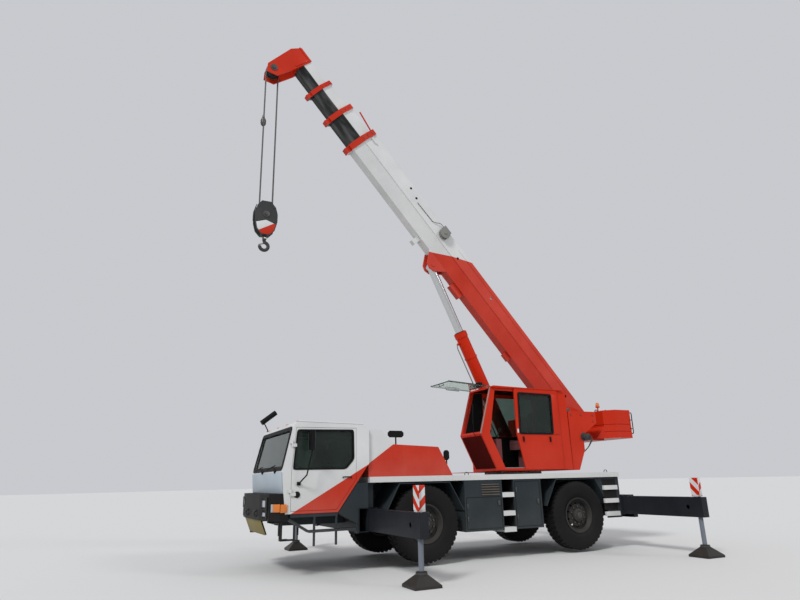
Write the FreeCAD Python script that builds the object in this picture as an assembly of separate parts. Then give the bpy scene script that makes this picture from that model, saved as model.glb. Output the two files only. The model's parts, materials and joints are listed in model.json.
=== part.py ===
import FreeCAD, Part
import math
import os
from FreeCAD import Vector

# Mobile crane on two axles, standing on its outriggers with the boom raised.
# Millimetres. +Z up, front towards -Y, the crane's left side towards +X, ground at z = 0.
# Every y in this file is measured from the front axle. put() shifts each piece by origin_y, so
# that the origin of the saved part is on the ground at the middle of its length.

os.makedirs("parts", exist_ok=True)

origin_y = 1210.0

# Carrier
body_half = 1240.0
wheelbase = 3640.0
skirt_half = body_half - 10.0
frame_top = 1490.0
deck_depth = 100.0
deck_top = frame_top + deck_depth
deck_front = -1134.0
deck_rear = wheelbase + 1230.0
rail_half = body_half - 810.0
rail_bottom = 1000.0
rail_front = -2560.0
rail_rear = wheelbase + 1580.0
plate = 14.0
gap = 6.0
seat_gap = 0.3

# Wheels, axles and steering
tyre_radius = 685.0
tyre_width = 370.0
tyre_outer = body_half + 5.0
bead_radius = 320.0
rim_flange = 352.0
hand_holes = 10
lift = 48.0
axle_z = tyre_radius + lift
wheel_x = tyre_outer - tyre_width / 2
kingpin_x = tyre_outer - 405.0
kingpin_radius = 40.0
strut_x = kingpin_x - 250.0
spindle_radius = 85.0
axle_tube = 105.0

# Outriggers
jack_x = 3120.0
lane = 150.0
lane_pitch = 164.0
beam_height = 370.0
beam_length = 2320.0
beam_end = 140.0
jack_tube = 62.0
jack_wall = 12.0
jack_top = 1440.0
rod_radius = 42.0
rod_top = 1000.0
pad_half = 222.0
pad_height = 185.0
# end of the crane, y of the left beam, z of the beam's underside, step to the right beam's lane
outriggers = [
    ("front", -1094.0, 670.0, -lane_pitch),
    ("rear", wheelbase + 1336.0, 710.0, lane_pitch),
]
beam_hole = 40.0
beam_hole_x = jack_x - 190.0

# Skirts and steps: y0, y1 of each flight and the z of its plates' middles
skirt_bottom = 540.0
box_front = 850.0
box_rear = wheelbase - 940.0
ladder_y = (1730.0, 2010.0)
ladder_z = (1195.0, 844.0, 540.0)
# louvres in the left locker's upper part: y0, y1, and the lowest slot's z, pitch, height and count
grille_y = (1240.0, 1670.0)
grille_z = 1200.0
grille_pitch = 48.0
grille_slot = 26.0
grille_count = 5
grille_depth = 18.0
step_height = 90.0
rear_steps_y = (wheelbase + 755.0, wheelbase + 1150.0)
rear_steps_z = (1268.0, 995.0, 725.0)
board_thickness = 36.0
board_line = [(-2618.0, 942.0), (-2253.0, 730.0), (-1403.0, 736.0)]
hanger_ys = (-2167.0, -1770.0)
step_bar = 28.0
step_z = 586.0
deck_ribs = (-450.0, 900.0, 2300.0, 3900.0)
tail_bottom = 620.0
tail_top = 1020.0
tail_depth = 120.0
# x0, x1, z0, z1 of the lamps on the tail, left side
tail_lamp = (760.0, 1140.0, 760.0, 880.0)

# Carrier cab
cab_wall = 50.0
cab_floor = 1010.0
cab_half = body_half
cab_side = [
    (-2690.0, cab_floor), (-2730.0, 1370.0), (-2755.0, 1703.0), (-2563.0, 2508.0), (-2505.0, 2560.0),
    (-1265.0, 2530.0), (-1190.0, 2500.0), (-1150.0, 2420.0), (-1150.0, 1830.0), (-1746.0, cab_floor),
]
door_opening = [
    (-2600.0, 1050.0), (-2600.0, 1700.0), (-2530.0, 2460.0), (-1400.0, 2460.0), (-1400.0, 1560.0),
    (-1771.0, 1050.0),
]
door_window = [
    (-2572.0, 1737.0), (-2510.0, 2414.0), (-1457.0, 2424.0), (-1447.0, 1906.0), (-1601.0, 1737.0),
]
door_split = -2600.0
# edge from the side, y0, y1, z0, z1 of the windscreen and the rear window
cab_windows = [
    (110.0, -2800.0, -2520.0, 1760.0, 2440.0),
    (200.0, -1300.0, -1100.0, 1900.0, 2350.0),
]
dash_side = [(-2640.0, 1480.0), (-2640.0, 1640.0), (-2350.0, 1600.0), (-2300.0, 1480.0)]
dash_leg = (-2600.0, -2450.0)
wheel_y = -2222.0
wheel_z = 1688.0
wheel_radius = 215.0
# y0, y1, half width of the seat's base and cushion; side view of its back
seat_base = (-1990.0, -1790.0, 180.0)
seat_cushion = (-2010.0, -1530.0, 240.0)
seat_height = 1400.0
seat_back = [(-1590.0, 1500.0), (-1480.0, 2150.0), (-1400.0, 2140.0), (-1470.0, 1500.0)]
door_handle = (-1640.0, -1520.0, 1590.0, 1612.0)
hinge_x = cab_half + 18.0
hinge_zs = (1300.0, 2120.0)
post_end = -2640.0
leaf_end = -2530.0
mirror_elbow = (-2380.0, 1640.0)
mirror_head = (-2330.0, -2270.0, 2060.0, 2400.0)
hinge_y = door_split
hinge_radius = 12.0
hinge_knuckle = 55.0
glass = 6.0

# Bumper: half of its plan from the corner to the middle, and the side view of the apron below it
bumper_plan = [(body_half, -2640.0), (body_half, -2780.0), (1080.0, -2930.0), (600.0, -2985.0)]
bumper_bottom = 900.0
bumper_top = 1340.0
apron_half = 620.0
apron_side = [(-2960.0, 900.0), (-2860.0, 660.0), (-2840.0, 660.0), (-2930.0, 900.0)]
# lamps in the bumper's face, from the middle outwards: x0, x1, z0, z1
front_lamps = [
    (720.0, 1000.0, 1110.0, 1250.0),
    (780.0, 980.0, 960.0, 1050.0),
]
corner_lamp = (1130.0, 1236.0, 1060.0, 1160.0)
lamp_rise = 6.0
lamp_rim = 12.0
corner_step_ys = (-2740.0, -2620.0, -2506.0)
corner_step_depth = 120.0

# Engine hood
hood_half = body_half - 60.0
hood_wall = 20.0
hood_side = [
    (-1140.0, deck_top), (-1140.0, 2445.0), (-863.0, 2437.0), (-630.0, 2175.0), (338.0, 2130.0),
    (637.0, deck_top),
]
# y and z of each mirror's middle, half its length and half its height
hood_mirrors = [
    (-545.0, 2370.0, 160.0, 62.0),
    (550.0, 1975.0, 55.0, 95.0),
]

# half width, y0, y1, height
engine_size = (420.0, -1000.0, 250.0, 460.0)

# Slewing platform
slew_y = 2900.0
ring_radius = 640.0
ring_top = 1640.0
platform_bottom = 1650.0
frame_half = 330.0
frame_plate = 40.0
pivot_y = 4377.0
pivot_z = 2982.0
pivot_radius = 70.0
platform_front = 2050.0
platform_back = 3860.0
frame_side = [
    (platform_front, platform_bottom), (platform_front, 1900.0), (2850.0, 2200.0), (3300.0, 2480.0),
    (4180.0, 3100.0), (4560.0, 3120.0), (4960.0, 2950.0), (5040.0, 2700.0),
]
frame_toe = (5000.0, 4480.0)
frame_knee = (4060.0, 2070.0)
tower_outer = body_half - 90.0
tower_side = [(3680.0, platform_bottom), (3680.0, 2920.0), (4480.0, 2920.0), (4480.0, 2670.0), (4060.0, 2400.0)]
floor_side = (body_half - 60.0, 1900.0, 3700.0)
ledge_side = (800.0, 4560.0, 4990.0)
weight_half = body_half - 110.0
weight_front = 4910.0
weight_rear = 5640.0
weight_bottom = 2350.0
weight_top = 2990.0
weight_seams = (2500.0, 2660.0)
weight_chamfers = (200.0, 80.0)
notch_rear = 5080.0
winch_y = 4200.0
winch_z = 2270.0
winch_shaft = 60.0
drum_radius = 210.0
flange_radius = 280.0
upper_bottom = 1660.0
floor_top = upper_bottom - seat_gap

# Crane cab
upper_inner = 352.0
upper_outer = body_half - 50.0
upper_wall = 45.0
screen_y = 1621.0
screen_z = 3378.0
screen_pin = 8.0
screen_rise = 3.2
screen_length = 975.0
upper_side = [
    (1700.0, upper_bottom), (1345.0, 2400.0), (1640.0, 3370.0), (1720.0, 3400.0), (3560.0, 3360.0),
    (3620.0, 3300.0), (3640.0, upper_bottom),
]
upper_opening = [
    (1880.0, 1720.0), (1560.0, 2395.0), (1740.0, 3300.0), (2690.0, 3285.0), (2690.0, 1720.0),
]
# windows behind the door, in the inner wall, in the front and in the back: y0, y1, z0, z1
rear_window = (2790.0, 3280.0, 2430.0, 3220.0)
inner_window = (1950.0, 3400.0, 2400.0, 3250.0)
front_window = (1200.0, 1800.0, 2440.0, 3340.0)
back_window = (3560.0, 3700.0, 2450.0, 3200.0)
window_edges = (60.0, 100.0)
slide_side = [(2210.0, 2400.0), (2210.0, 3335.0), (3360.0, 3335.0), (3370.0, 1686.0), (2370.0, 1686.0)]
slide_window = [(2300.0, 2430.0), (2300.0, 3240.0), (3280.0, 3220.0), (3290.0, 2430.0)]
slide_leaf = 30.0
runner_span = (1640.0, 3500.0)
runner_zs = (3352.0, 1674.0)
runner_height = 12.0
# half width, y0, y1, z1 of the seat's base, cushion and console; side view of its back
operator_base = (170.0, 2650.0, 3000.0, 2100.0)
operator_cushion = (250.0, 2500.0, 3020.0, 2230.0)
operator_console = ((upper_outer - upper_inner) / 2 - upper_wall - 64.0, 1780.0, 1900.0, 2300.0)
operator_back = [(2960.0, 2200.0), (3080.0, 2920.0), (3180.0, 2900.0), (3090.0, 2180.0)]

# Boom, measured along (s) and down from (n) the line through its pivot
boom_angle = 49.3
skin = 10.0
# name, rear end, front end, half width, top, bottom, collar length
boom_sections = [
    ("boom_base", -360.0, 8250.0, 245.0, -500.0, 180.0, 150.0),
    ("boom_section_1", 1250.0, 9050.0, 219.0, -438.0, 152.0, 130.0),
    ("boom_section_2", 2050.0, 9780.0, 193.0, -380.0, 124.0, 110.0),
    ("boom_section_3", 2750.0, 10440.0, 167.0, -326.0, 96.0, 0.0),
]
eye_s = 4800.0
eye_n = 367.0
eye_half = 90.0
foot_y = 3000.0
foot_z = 1950.0
barrel_radius = 140.0
barrel_length = 3155.0
luff_rod_radius = 95.0
rod_start = 1650.0
foot_pin = 60.0
side_hole_s = (270.0, 3290.0)
side_hole_n = -320.0
# fittings on the base section: x0, x1, s0, s1, n0 and n1, the last two from its top or its bottom
reel_s = 5215.0
reel_n = -330.0
top_fittings = [
    (240.0, 315.0, 5130.0, 5330.0, 10.0, 112.0),
    (60.0, 160.0, 4215.0, 4285.0, -150.0, 5.0),
    (84.0, 132.0, 6940.0, 8160.0, -106.0, 5.0),
    (240.0, 275.0, 7900.0, 8080.0, 110.0, 160.0),
]
bottom_fittings = [
    (-70.0, 70.0, 3780.0, 4150.0, -5.0, 130.0),
    (-60.0, 60.0, 5450.0, 5570.0, -5.0, 200.0),
    (-50.0, 50.0, 1850.0, 2050.0, -5.0, 90.0),
]
stop_x = 108.0
stop_reach = 550.0
nose_s = 10620.0
nose_n = 600.0
sheave_radius = 150.0
sheave_xs = (-40.0, 40.0)

# Hook
block_top = 7300.0
block_bottom = block_top - 770.0
hook_bottom = block_bottom - 360.0
rope_radius = 9.0
rope_offset = 138.0
block_sheave_z = block_top - 300.0


def box(x0, x1, y0, y1, z0, z1):
    return Part.makeBox(x1 - x0, y1 - y0, z1 - z0, Vector(x0, y0, z0))


def side_plate(points, x0, x1):
    """Extrudes a side-view outline of (y, z) points from x0 to x1."""
    wire = Part.makePolygon([Vector(x0, y, z) for y, z in points + points[:1]])
    return Part.Face(wire).extrude(Vector(x1 - x0, 0, 0))


def top_plate(points, z0, z1):
    """Extrudes a plan outline of (x, y) points from z0 to z1."""
    wire = Part.makePolygon([Vector(x, y, z0) for x, y in points + points[:1]])
    return Part.Face(wire).extrude(Vector(0, 0, z1 - z0))


def rod_x(radius, x0, x1, y, z):
    return Part.makeCylinder(radius, x1 - x0, Vector(x0, y, z), Vector(1, 0, 0))


def rod_y(radius, y0, y1, x, z):
    return Part.makeCylinder(radius, y1 - y0, Vector(x, y0, z), Vector(0, 1, 0))


def rod_z(radius, z0, z1, x, y):
    return Part.makeCylinder(radius, z1 - z0, Vector(x, y, z0), Vector(0, 0, 1))


def bar(radius, start, end):
    line = end - start
    return Part.makeCylinder(radius, line.Length, start, line)


def mirrored(shape):
    return shape.mirror(Vector(0, 0, 0), Vector(1, 0, 0))


def both(shape):
    return [shape, mirrored(shape)]


def join(shapes):
    first, *others = shapes
    return first.fuse(others).removeSplitter() if others else first


def moved(shape, x=0.0, y=0.0, z=0.0):
    copy = shape.copy()
    copy.translate(Vector(x, y, z))
    return copy


def inset(points, distance):
    """Moves each side of a closed outline inwards by distance, whichever way round it runs."""
    count = len(points)
    area = sum(points[i][0] * points[(i + 1) % count][1] - points[(i + 1) % count][0] * points[i][1]
               for i in range(count))
    turn = 1.0 if area > 0 else -1.0
    lines = []
    for i in range(count):
        (ay, az), (by, bz) = points[i], points[(i + 1) % count]
        length = math.hypot(by - ay, bz - az)
        ny, nz = -turn * (bz - az) / length, turn * (by - ay) / length
        lines.append((ny, nz, ny * ay + nz * az + distance))
    result = []
    for i in range(count):
        ny1, nz1, c1 = lines[i - 1]
        ny2, nz2, c2 = lines[i]
        det = ny1 * nz2 - ny2 * nz1
        result.append(((c1 * nz2 - c2 * nz1) / det, (ny1 * c2 - ny2 * c1) / det))
    return result


def lathe_x(profile, y, z):
    """Turns a closed profile of (x, radius) points about the axis along X through (y, z)."""
    wire = Part.makePolygon([Vector(x, y, z + r) for x, r in profile + profile[:1]])
    return Part.Face(wire).revolve(Vector(0, y, z), Vector(1, 0, 0), 360)


def put(name, *pieces):
    """Saves one node, moved so that y is measured from the part's origin."""
    shape = pieces[0] if len(pieces) == 1 else Part.makeCompound(list(pieces))
    moved(shape, y=-origin_y).exportStep("parts/" + name + ".step")


def lane_y(y, step, side):
    return y if side > 0 else y + step


def sided(shape, side):
    return shape if side > 0 else mirrored(shape)


sides = [("left", 1), ("right", -1)]
axles = [("front", 0.0), ("rear", wheelbase)]


def housing_spans():
    """Outer box of each outrigger housing: y0, y1, z0, z1."""
    spans = []
    for name, y, z, step in outriggers:
        low = min(y, y + step) - lane / 2 - gap - plate
        high = max(y, y + step) + lane / 2 + gap + plate
        spans.append((low, high, z - gap - plate, z + beam_height + gap + plate))
    return spans


def chassis_frame():
    rear = box(-rail_half, rail_half, -700.0, rail_rear, rail_bottom, frame_top)
    rear = rear.cut(box(-rail_half + plate, rail_half - plate, -700.0 + plate, rail_rear - plate,
                        rail_bottom + plate, frame_top - plate))
    top = cab_floor - seat_gap
    front = box(-rail_half, rail_half, rail_front, -700.0, 780.0, top)
    front = front.cut(box(-rail_half + plate, rail_half - plate, rail_front + plate, -700.0, 794.0, top - plate))
    neck = box(-rail_half, rail_half, -900.0, -700.0, 780.0, frame_top)
    shape = join([rear, front, neck])
    for low, high, z0, z1 in housing_spans():
        shape = shape.cut(box(-body_half, body_half, low, high, z0, z1))
    for name, y in axles:
        shape = shape.cut(rod_x(250.0, -rail_half, rail_half, y, axle_z))
    return shape


def suspension(y):
    """Two struts and two pairs of links that carry one axle."""
    pieces = []
    for side in (1, -1):
        x = side * strut_x
        foot = box(x - 60, x + 60, y - 60, y + 60, axle_z + 90, axle_z + 150)
        strut = rod_z(50.0, axle_z + 150, 1400.0, x, y)
        head = box(min(x, side * rail_half), max(x, side * rail_half), y - 60, y + 60, 1330.0, 1400.0)
        cap = box(x - 62, x + 62, y - 62, y + 62, 1330.0, 1400.0)
        pieces.append(join([foot, strut, head, cap]))
    return pieces


def axle(y):
    """Axle tube with its differential, struts and a yoke for the kingpin at each end."""
    tube = rod_x(axle_tube, -kingpin_x + 130, kingpin_x - 130, y, axle_z)
    bowl = lathe_x([(-330.0, 0.0), (-330.0, 90.0), (-160.0, 195.0), (-70.0, 235.0), (70.0, 235.0), (160.0, 195.0),
                    (330.0, 90.0), (330.0, 0.0)], y, axle_z)
    cover = rod_y(150.0, y - 270, y + 300, 0.0, axle_z)
    shape = [tube, bowl, cover]
    for side in (1, -1):
        yoke = box(kingpin_x - 170, kingpin_x - 110, y - 90, y + 90, axle_z - 180, axle_z + 180)
        pieces = [yoke]
        for z0, z1 in ((130.0, 180.0), (-180.0, -130.0)):
            pieces.append(box(kingpin_x - 140, kingpin_x + 55, y - 70, y + 70, axle_z + z0, axle_z + z1))
            reach = 12.0 if z0 > 0 else -12.0
            pin = sorted((axle_z + (z0 + z1) / 2, axle_z + (z0 if z0 > 0 else z1) - reach))
            pieces.append(rod_z(kingpin_radius, pin[0], pin[1], kingpin_x, y))
        shape += [sided(piece, side) for piece in pieces]
    return join(shape + suspension(y))


def knuckle(y):
    """Swivels between the yoke's two ears and carries the hub, left side."""
    body = rod_z(66.0, axle_z - 124, axle_z + 124, kingpin_x, y)
    neck = rod_x(60.0, kingpin_x, kingpin_x + 85, y, axle_z)
    flange = rod_x(118.0, kingpin_x + 75, kingpin_x + 100, y, axle_z)
    spindle = rod_x(spindle_radius, kingpin_x + 90, wheel_x + 62 - seat_gap, y, axle_z)
    arm = box(kingpin_x + 10, kingpin_x + 60, y + 30, y + 220, axle_z - 30, axle_z + 20)
    shape = join([body, neck, flange, spindle, arm])
    for z0 in (118.0 - seat_gap, -124.0 - 5):
        shape = shape.cut(rod_z(kingpin_radius + seat_gap, axle_z + z0, axle_z + z0 + 11 + seat_gap, kingpin_x, y))
    return shape


def rim(y):
    """Flanged rim with its disc and the planetary hub's cap, left side."""
    c = wheel_x
    half = tyre_width / 2
    barrel = lathe_x([
        (c - half + 22, rim_flange), (c - half + 22, rim_flange - 26), (c - half + 60, 296.0),
        (c + half - 90, 288.0),
        (c + half - 22, rim_flange - 26), (c + half - 22, rim_flange), (c + half - 34, rim_flange),
        (c + half - 40, bead_radius), (c - half + 40, bead_radius), (c - half + 34, rim_flange),
    ], y, axle_z)
    disc = lathe_x([
        (c + 40, 292.0), (c + 40, 250.0), (c + 85, 205.0), (c + 85, 86.0), (c + 105, 86.0), (c + 105, 215.0),
        (c + 62, 258.0), (c + 62, 292.0),
    ], y, axle_z)
    cap = lathe_x([
        (c + 62, 0.0), (c + 62, spindle_radius + seat_gap), (c - 110, spindle_radius + seat_gap), (c - 110, 120.0),
        (c + 60, 120.0), (c + 105, 135.0), (c + 160, 130.0), (c + 178, 95.0),
        (c + 186, 90.0), (c + 186, 0.0),
    ], y, axle_z)
    shape = join([barrel, disc, cap])
    for index in range(hand_holes):
        turn = 2 * math.pi * index / hand_holes
        shape = shape.cut(rod_x(24.0, c + 50, c + 110, y + 236.0 * math.sin(turn), axle_z + 236.0 * math.cos(turn)))
    return shape


def tyre(y):
    c = wheel_x
    half = tyre_width / 2
    profile = [
        (c - half + 46, bead_radius + seat_gap), (c + half - 46, bead_radius + seat_gap),
        (c + half - 38, rim_flange + 2), (c + half - 8, 420.0), (c + half, 500.0), (c + half - 4, 580.0),
        (c + half - 22, 655.0), (c + half - 48, 678.0), (c + 60, tyre_radius), (c - 60, tyre_radius),
        (c - half + 48, 678.0), (c - half + 22, 655.0), (c - half + 4, 580.0), (c - half, 500.0),
        (c - half + 8, 420.0), (c - half + 38, rim_flange + 2),
    ]
    return lathe_x(profile, y, axle_z)


def cab_shell():
    outer = side_plate(cab_side, -cab_half, cab_half)
    inner = side_plate(inset(cab_side, cab_wall), -cab_half + cab_wall, cab_half - cab_wall)
    shell = outer.cut(inner)
    for side in (1, -1):
        x0, x1 = sorted((side * (cab_half - cab_wall - 5), side * (cab_half + 5)))
        shell = shell.cut(side_plate(door_opening, x0, x1))
    for edge, y0, y1, z0, z1 in cab_windows:
        shell = shell.cut(box(-cab_half + edge, cab_half - edge, y0, y1, z0, z1))
    for side in (1, -1):
        shell = join([shell] + [sided(piece, side) for piece in hinge_pair(False, post_end)])
    return shell


def cab_glass():
    inner = inset(cab_side, cab_wall / 2)
    outer = inset(cab_side, cab_wall / 2 - glass)
    sheet = side_plate(outer, -cab_half, cab_half).cut(side_plate(inner, -cab_half, cab_half))
    panes = []
    for edge, y0, y1, z0, z1 in cab_windows:
        reach = cab_half - edge - seat_gap
        panes.append(sheet.common(box(-reach, reach, y0, y1, z0 + seat_gap, z1 - seat_gap)))
    return panes


def cab_interior():
    """Dashboard with the steering wheel, and two seats, on the cab's floor."""
    floor = cab_floor + cab_wall + seat_gap
    half = cab_half - 140
    seat_x = cab_half / 2
    dash = side_plate(dash_side, -half, half)
    leg = box(-half, half, *dash_leg, floor, dash_side[0][1])
    rim_centre = Vector(seat_x, wheel_y, wheel_z)
    tilt = Vector(0, 0.69, 0.73)
    column = bar(30.0, rim_centre - tilt * 260.0, rim_centre - tilt * 11.0)
    wheel = Part.makeTorus(wheel_radius, 16.0, rim_centre, tilt)
    hub = Part.makeCylinder(45.0, 20.0, rim_centre - tilt * 10.0, tilt)
    spoke = rod_x(13.0, seat_x - wheel_radius, seat_x + wheel_radius, wheel_y, wheel_z)
    seats = []
    for x in (seat_x, -seat_x):
        y0, y1, wide = seat_base
        base = box(x - wide, x + wide, y0, y1, floor, seat_height)
        y0, y1, wide = seat_cushion
        cushion = box(x - wide, x + wide, y0, y1, seat_height, seat_height + 120.0)
        seats.append(join([base, cushion, side_plate(seat_back, x - wide + 10, x + wide - 10)]))
    return [join([dash, leg, column, wheel, hub, spoke])] + seats


def hinge_pair(lower, reach):
    """Two knuckles of a door hinge; reach is where their straps end on the leaf or the pillar."""
    x = hinge_x
    pieces = []
    for z in hinge_zs:
        z0 = z if lower else z + hinge_knuckle + seat_gap
        y0, y1 = sorted((hinge_y, reach))
        strap = box(x - 6, x + 6, y0, y1, z0, z0 + hinge_knuckle)
        foot = box(cab_half, x + 6, reach - 10, reach + 10, z0, z0 + hinge_knuckle)
        pieces += [rod_z(hinge_radius, z0, z0 + hinge_knuckle, x, hinge_y), strap, foot]
    return pieces


def door_leaf():
    leaf = side_plate(inset(door_opening, gap), cab_half - cab_wall, cab_half)
    hole = side_plate(inset(door_window, 0.0), cab_half - cab_wall - 5, cab_half + 5)
    handle = box(cab_half, cab_half + 18, *door_handle)
    return join([leaf.cut(hole), handle] + hinge_pair(True, leaf_end))


def door_pane():
    middle = cab_half - cab_wall / 2
    return side_plate(inset(door_window, seat_gap), middle - glass / 2, middle + glass / 2)


def door_mirror():
    x = cab_half
    foot = box(x, x + 30, -2500.0, -2440.0, 1470.0, 1530.0)
    elbow = Vector(x + 190, *mirror_elbow)
    y0, y1, z0, z1 = mirror_head
    arm = bar(12.0, Vector(x + 20, -2470.0, 1500.0), elbow)
    stem = bar(12.0, elbow, Vector(x + 190, y0 + 40, z0))
    head = box(x + 100, x + 280, y0, y1, z0, z1)
    ball = Part.makeSphere(12.0, elbow)
    return join([foot, arm, ball, stem, head])


def roof_mirror():
    foot = box(-cab_half + 10, -cab_half + 70, -2500.0, -2440.0, 2560.0, 2580.0)
    arm = bar(12.0, Vector(-cab_half + 40, -2470.0, 2575.0), Vector(-cab_half - 60, -2560.0, 2790.0))
    head = bar(55.0, Vector(-cab_half - 60, -2600.0, 2760.0), Vector(-cab_half - 60, -2300.0, 2990.0))
    return join([foot, arm, head])


def hood_mirror(y, z, half_length, half_height):
    """Flat oval mirror on a stub that stands on the hood's left edge."""
    cut = min(half_length, half_height) * 0.6
    oval = [(y - half_length, z - half_height + cut), (y - half_length, z + half_height - cut),
            (y - half_length + cut, z + half_height), (y + half_length - cut, z + half_height),
            (y + half_length, z + half_height - cut), (y + half_length, z - half_height + cut),
            (y + half_length - cut, z - half_height), (y - half_length + cut, z - half_height)]
    head = side_plate(oval, hood_half - 90, hood_half - 50)
    stub = rod_z(14.0, deck_top + 40, z - half_height + 10, hood_half - 70, y)
    return join([head, stub]).cut(side_plate(hood_side, -hood_half, hood_half))


def bumper():
    outline = [(-x, y) for x, y in bumper_plan] + list(reversed(bumper_plan))
    band = top_plate(outline, bumper_bottom, bumper_top)
    band = band.cut(side_plate(inset(cab_side, -gap), -body_half - 5, body_half + 5))
    inner = body_half - 30
    hollow = box(-inner, inner, -2740.0, -2600.0, bumper_bottom - 30, bumper_top - 30)
    apron = side_plate(apron_side, -apron_half, apron_half)
    legs = [box(x - 30, x + 30, rail_front - 200, rail_front, 830.0, bumper_bottom + 5) for x in (-300.0, 300.0)]
    band = band.cut(hollow)
    for row in front_lamps:
        for side in (1, -1):
            band = band.cut(sided(lamp_shape(row, lamp_rim, 5.0), side))
            band = band.fuse(sided(lamp_shape(row, 0.0, lamp_rise).fuse(lamp_back(row)), side))
    corner = lamp_shape(corner_lamp, 0.0, lamp_rise)
    return join([band, apron] + legs + both(corner) + both(bumper_step()))


def lamp_back(row):
    """Block behind a lamp that carries it on the bumper's wall."""
    x0, x1, z0, z1 = row
    depth = bumper_face(x1) + 60
    return box(x0 - 30, x1 + 30, bumper_face(x0) + 13, depth, z0 - 30, z1 + 30)


def bumper_face(x):
    """The y of the bumper's face at x."""
    for (x1, y1), (x0, y0) in zip(bumper_plan[1:], bumper_plan[2:]):
        if x >= x0:
            return y0 + (x - x0) * (y1 - y0) / (x1 - x0)
    return bumper_plan[-1][1]


def lamp_shape(row, grow, rise):
    """Lamp of the left half that follows the bumper's face and stands out from it by rise."""
    x0, x1, z0, z1 = row
    x0, x1 = x0 - grow, x1 + grow
    outline = [(x0, bumper_face(x0) - rise), (x1, bumper_face(x1) - rise),
               (x1, bumper_face(x1) + 14), (x0, bumper_face(x0) + 14)]
    return top_plate(outline, z0 - grow, z1 + grow)


def bumper_step():
    """Step that hangs under the bumper's corner, left side."""
    x1 = skirt_half
    x0 = x1 - corner_step_depth
    front, middle, rear = corner_step_ys
    half = step_bar / 2
    top = bumper_bottom + 5
    shape = [box(x, x + step_bar, front - half, front + half, step_z, top) for x in (x0, x1 - step_bar)]
    shape += [box(x1 - step_bar, x1, front - half, rear, step_z, step_z + step_bar),
              box(x0, x1, front - half, middle, step_z, step_z + step_bar),
              box(x1 - step_bar, x1, rear - step_bar, rear, step_z, 830.0)]
    return join(shape)


def engine_hood():
    shell = side_plate(hood_side, -hood_half, hood_half)
    inner = hood_half - hood_wall
    hollow = side_plate(inset(hood_side, hood_wall), -inner, inner)
    below = box(-inner, inner, -1110.0, 580.0, deck_top - 5, deck_top + hood_wall + 5)
    return shell.cut(hollow).cut(below)


def engine():
    half, y0, y1, height = engine_size
    return box(-half, half, y0, y1, deck_top, deck_top + height)


def deck():
    low = frame_top
    plate_shape = box(-body_half, body_half, deck_front, deck_rear, deck_top - 8, deck_top)
    shape = [plate_shape]
    for side in (1, -1):
        x0, x1 = sorted((side * (body_half - 60), side * body_half))
        shape.append(box(x0, x1, deck_front, deck_rear, low, deck_top - 8))
    shape.append(box(-body_half, body_half, deck_rear - 60, deck_rear, low, deck_top - 8))
    shape.append(box(-body_half, body_half, deck_front, deck_front + 60, low, deck_top - 8))
    for y in deck_ribs:
        shape.append(box(-body_half, body_half, y, y + 80, low, deck_top - 8))
    ring = rod_z(ring_radius, deck_top, ring_top, 0.0, slew_y)
    return join(shape + [ring])


def side_boxes():
    """Lockers between the wheels, the left with louvres and the ladder's recess, and the rear steps' back."""
    left = box(rail_half, skirt_half, box_front, box_rear, skirt_bottom, frame_top)
    left = left.cut(box(rail_half + 300, body_half, ladder_y[0], ladder_y[1], skirt_bottom - 5, frame_top + 5))
    for row in range(grille_count):
        z = grille_z + row * grille_pitch
        left = left.cut(box(skirt_half - grille_depth, skirt_half + 5, *grille_y, z, z + grille_slot))
    right = mirrored(box(rail_half, skirt_half, box_front, box_rear, skirt_bottom, frame_top))
    low, high, z0, z1 = housing_spans()[1]
    flank = [(wheelbase + 564, frame_top), (wheelbase + 845, 950.0), (wheelbase + 845, 640.0), (low, 640.0),
             (low, frame_top)]
    back = side_plate(flank, body_half - 90, body_half - 50)
    return [left, right] + both(back)


def board_side():
    """Side view of the running board, a strip that steps down behind the front corner."""
    return board_line + [(y, z - board_thickness) for y, z in reversed(board_line)]


def hangers(grow):
    """The two flat irons of the left side that carry the running board."""
    top = cab_floor - seat_gap
    return [box(skirt_half - 40 - grow, skirt_half + grow, y - 16 - grow, y + 16 + grow, 480.0, top)
            for y in hanger_ys]


def step_plates():
    """White step plates in the ladder's recess and on the rear corners, and the running boards."""
    half = step_height / 2
    pieces = [box(rail_half + 300, body_half, ladder_y[0], ladder_y[1], z - half, z + half) for z in ladder_z]
    for z in rear_steps_z:
        pieces += both(box(body_half - 50, body_half, rear_steps_y[0], rear_steps_y[1], z - half, z + half))
    board = side_plate(board_side(), body_half - 190, body_half)
    for iron in hangers(seat_gap):
        board = board.cut(iron)
    return pieces + both(board)


def sills():
    """Sill under the cab's door with the irons that hang from it, left side."""
    sill = box(body_half - 190, skirt_half, -2594.0, -1747.0, 950.0, cab_floor - seat_gap)
    return join([sill] + hangers(0.0))


def corner_panel(side):
    """Skirt that closes the corner between cab and outrigger housing, and the wall behind the jack's notch."""
    low, high, z0, z1 = housing_spans()[0]
    name, y, z, step = outriggers[0]
    notch = lane_y(y, step, side) - jack_tube - 16
    outline = [(-1740.0, 1000.0), (-1390.0, 800.0), (-1390.0, 640.0), (low, 640.0), (low, z1), (notch, z1),
               (notch, frame_top), (-1384.0, frame_top), (-1732.0, 1012.0)]
    skirt = side_plate(outline, body_half - 140, skirt_half)
    wall = box(body_half - 210, body_half - 190, low, high, z1, frame_top)
    floor = box(body_half - 210, body_half - 140, low, notch, z1, z1 + 20)
    return sided(join([skirt, wall, floor]), side)


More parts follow.
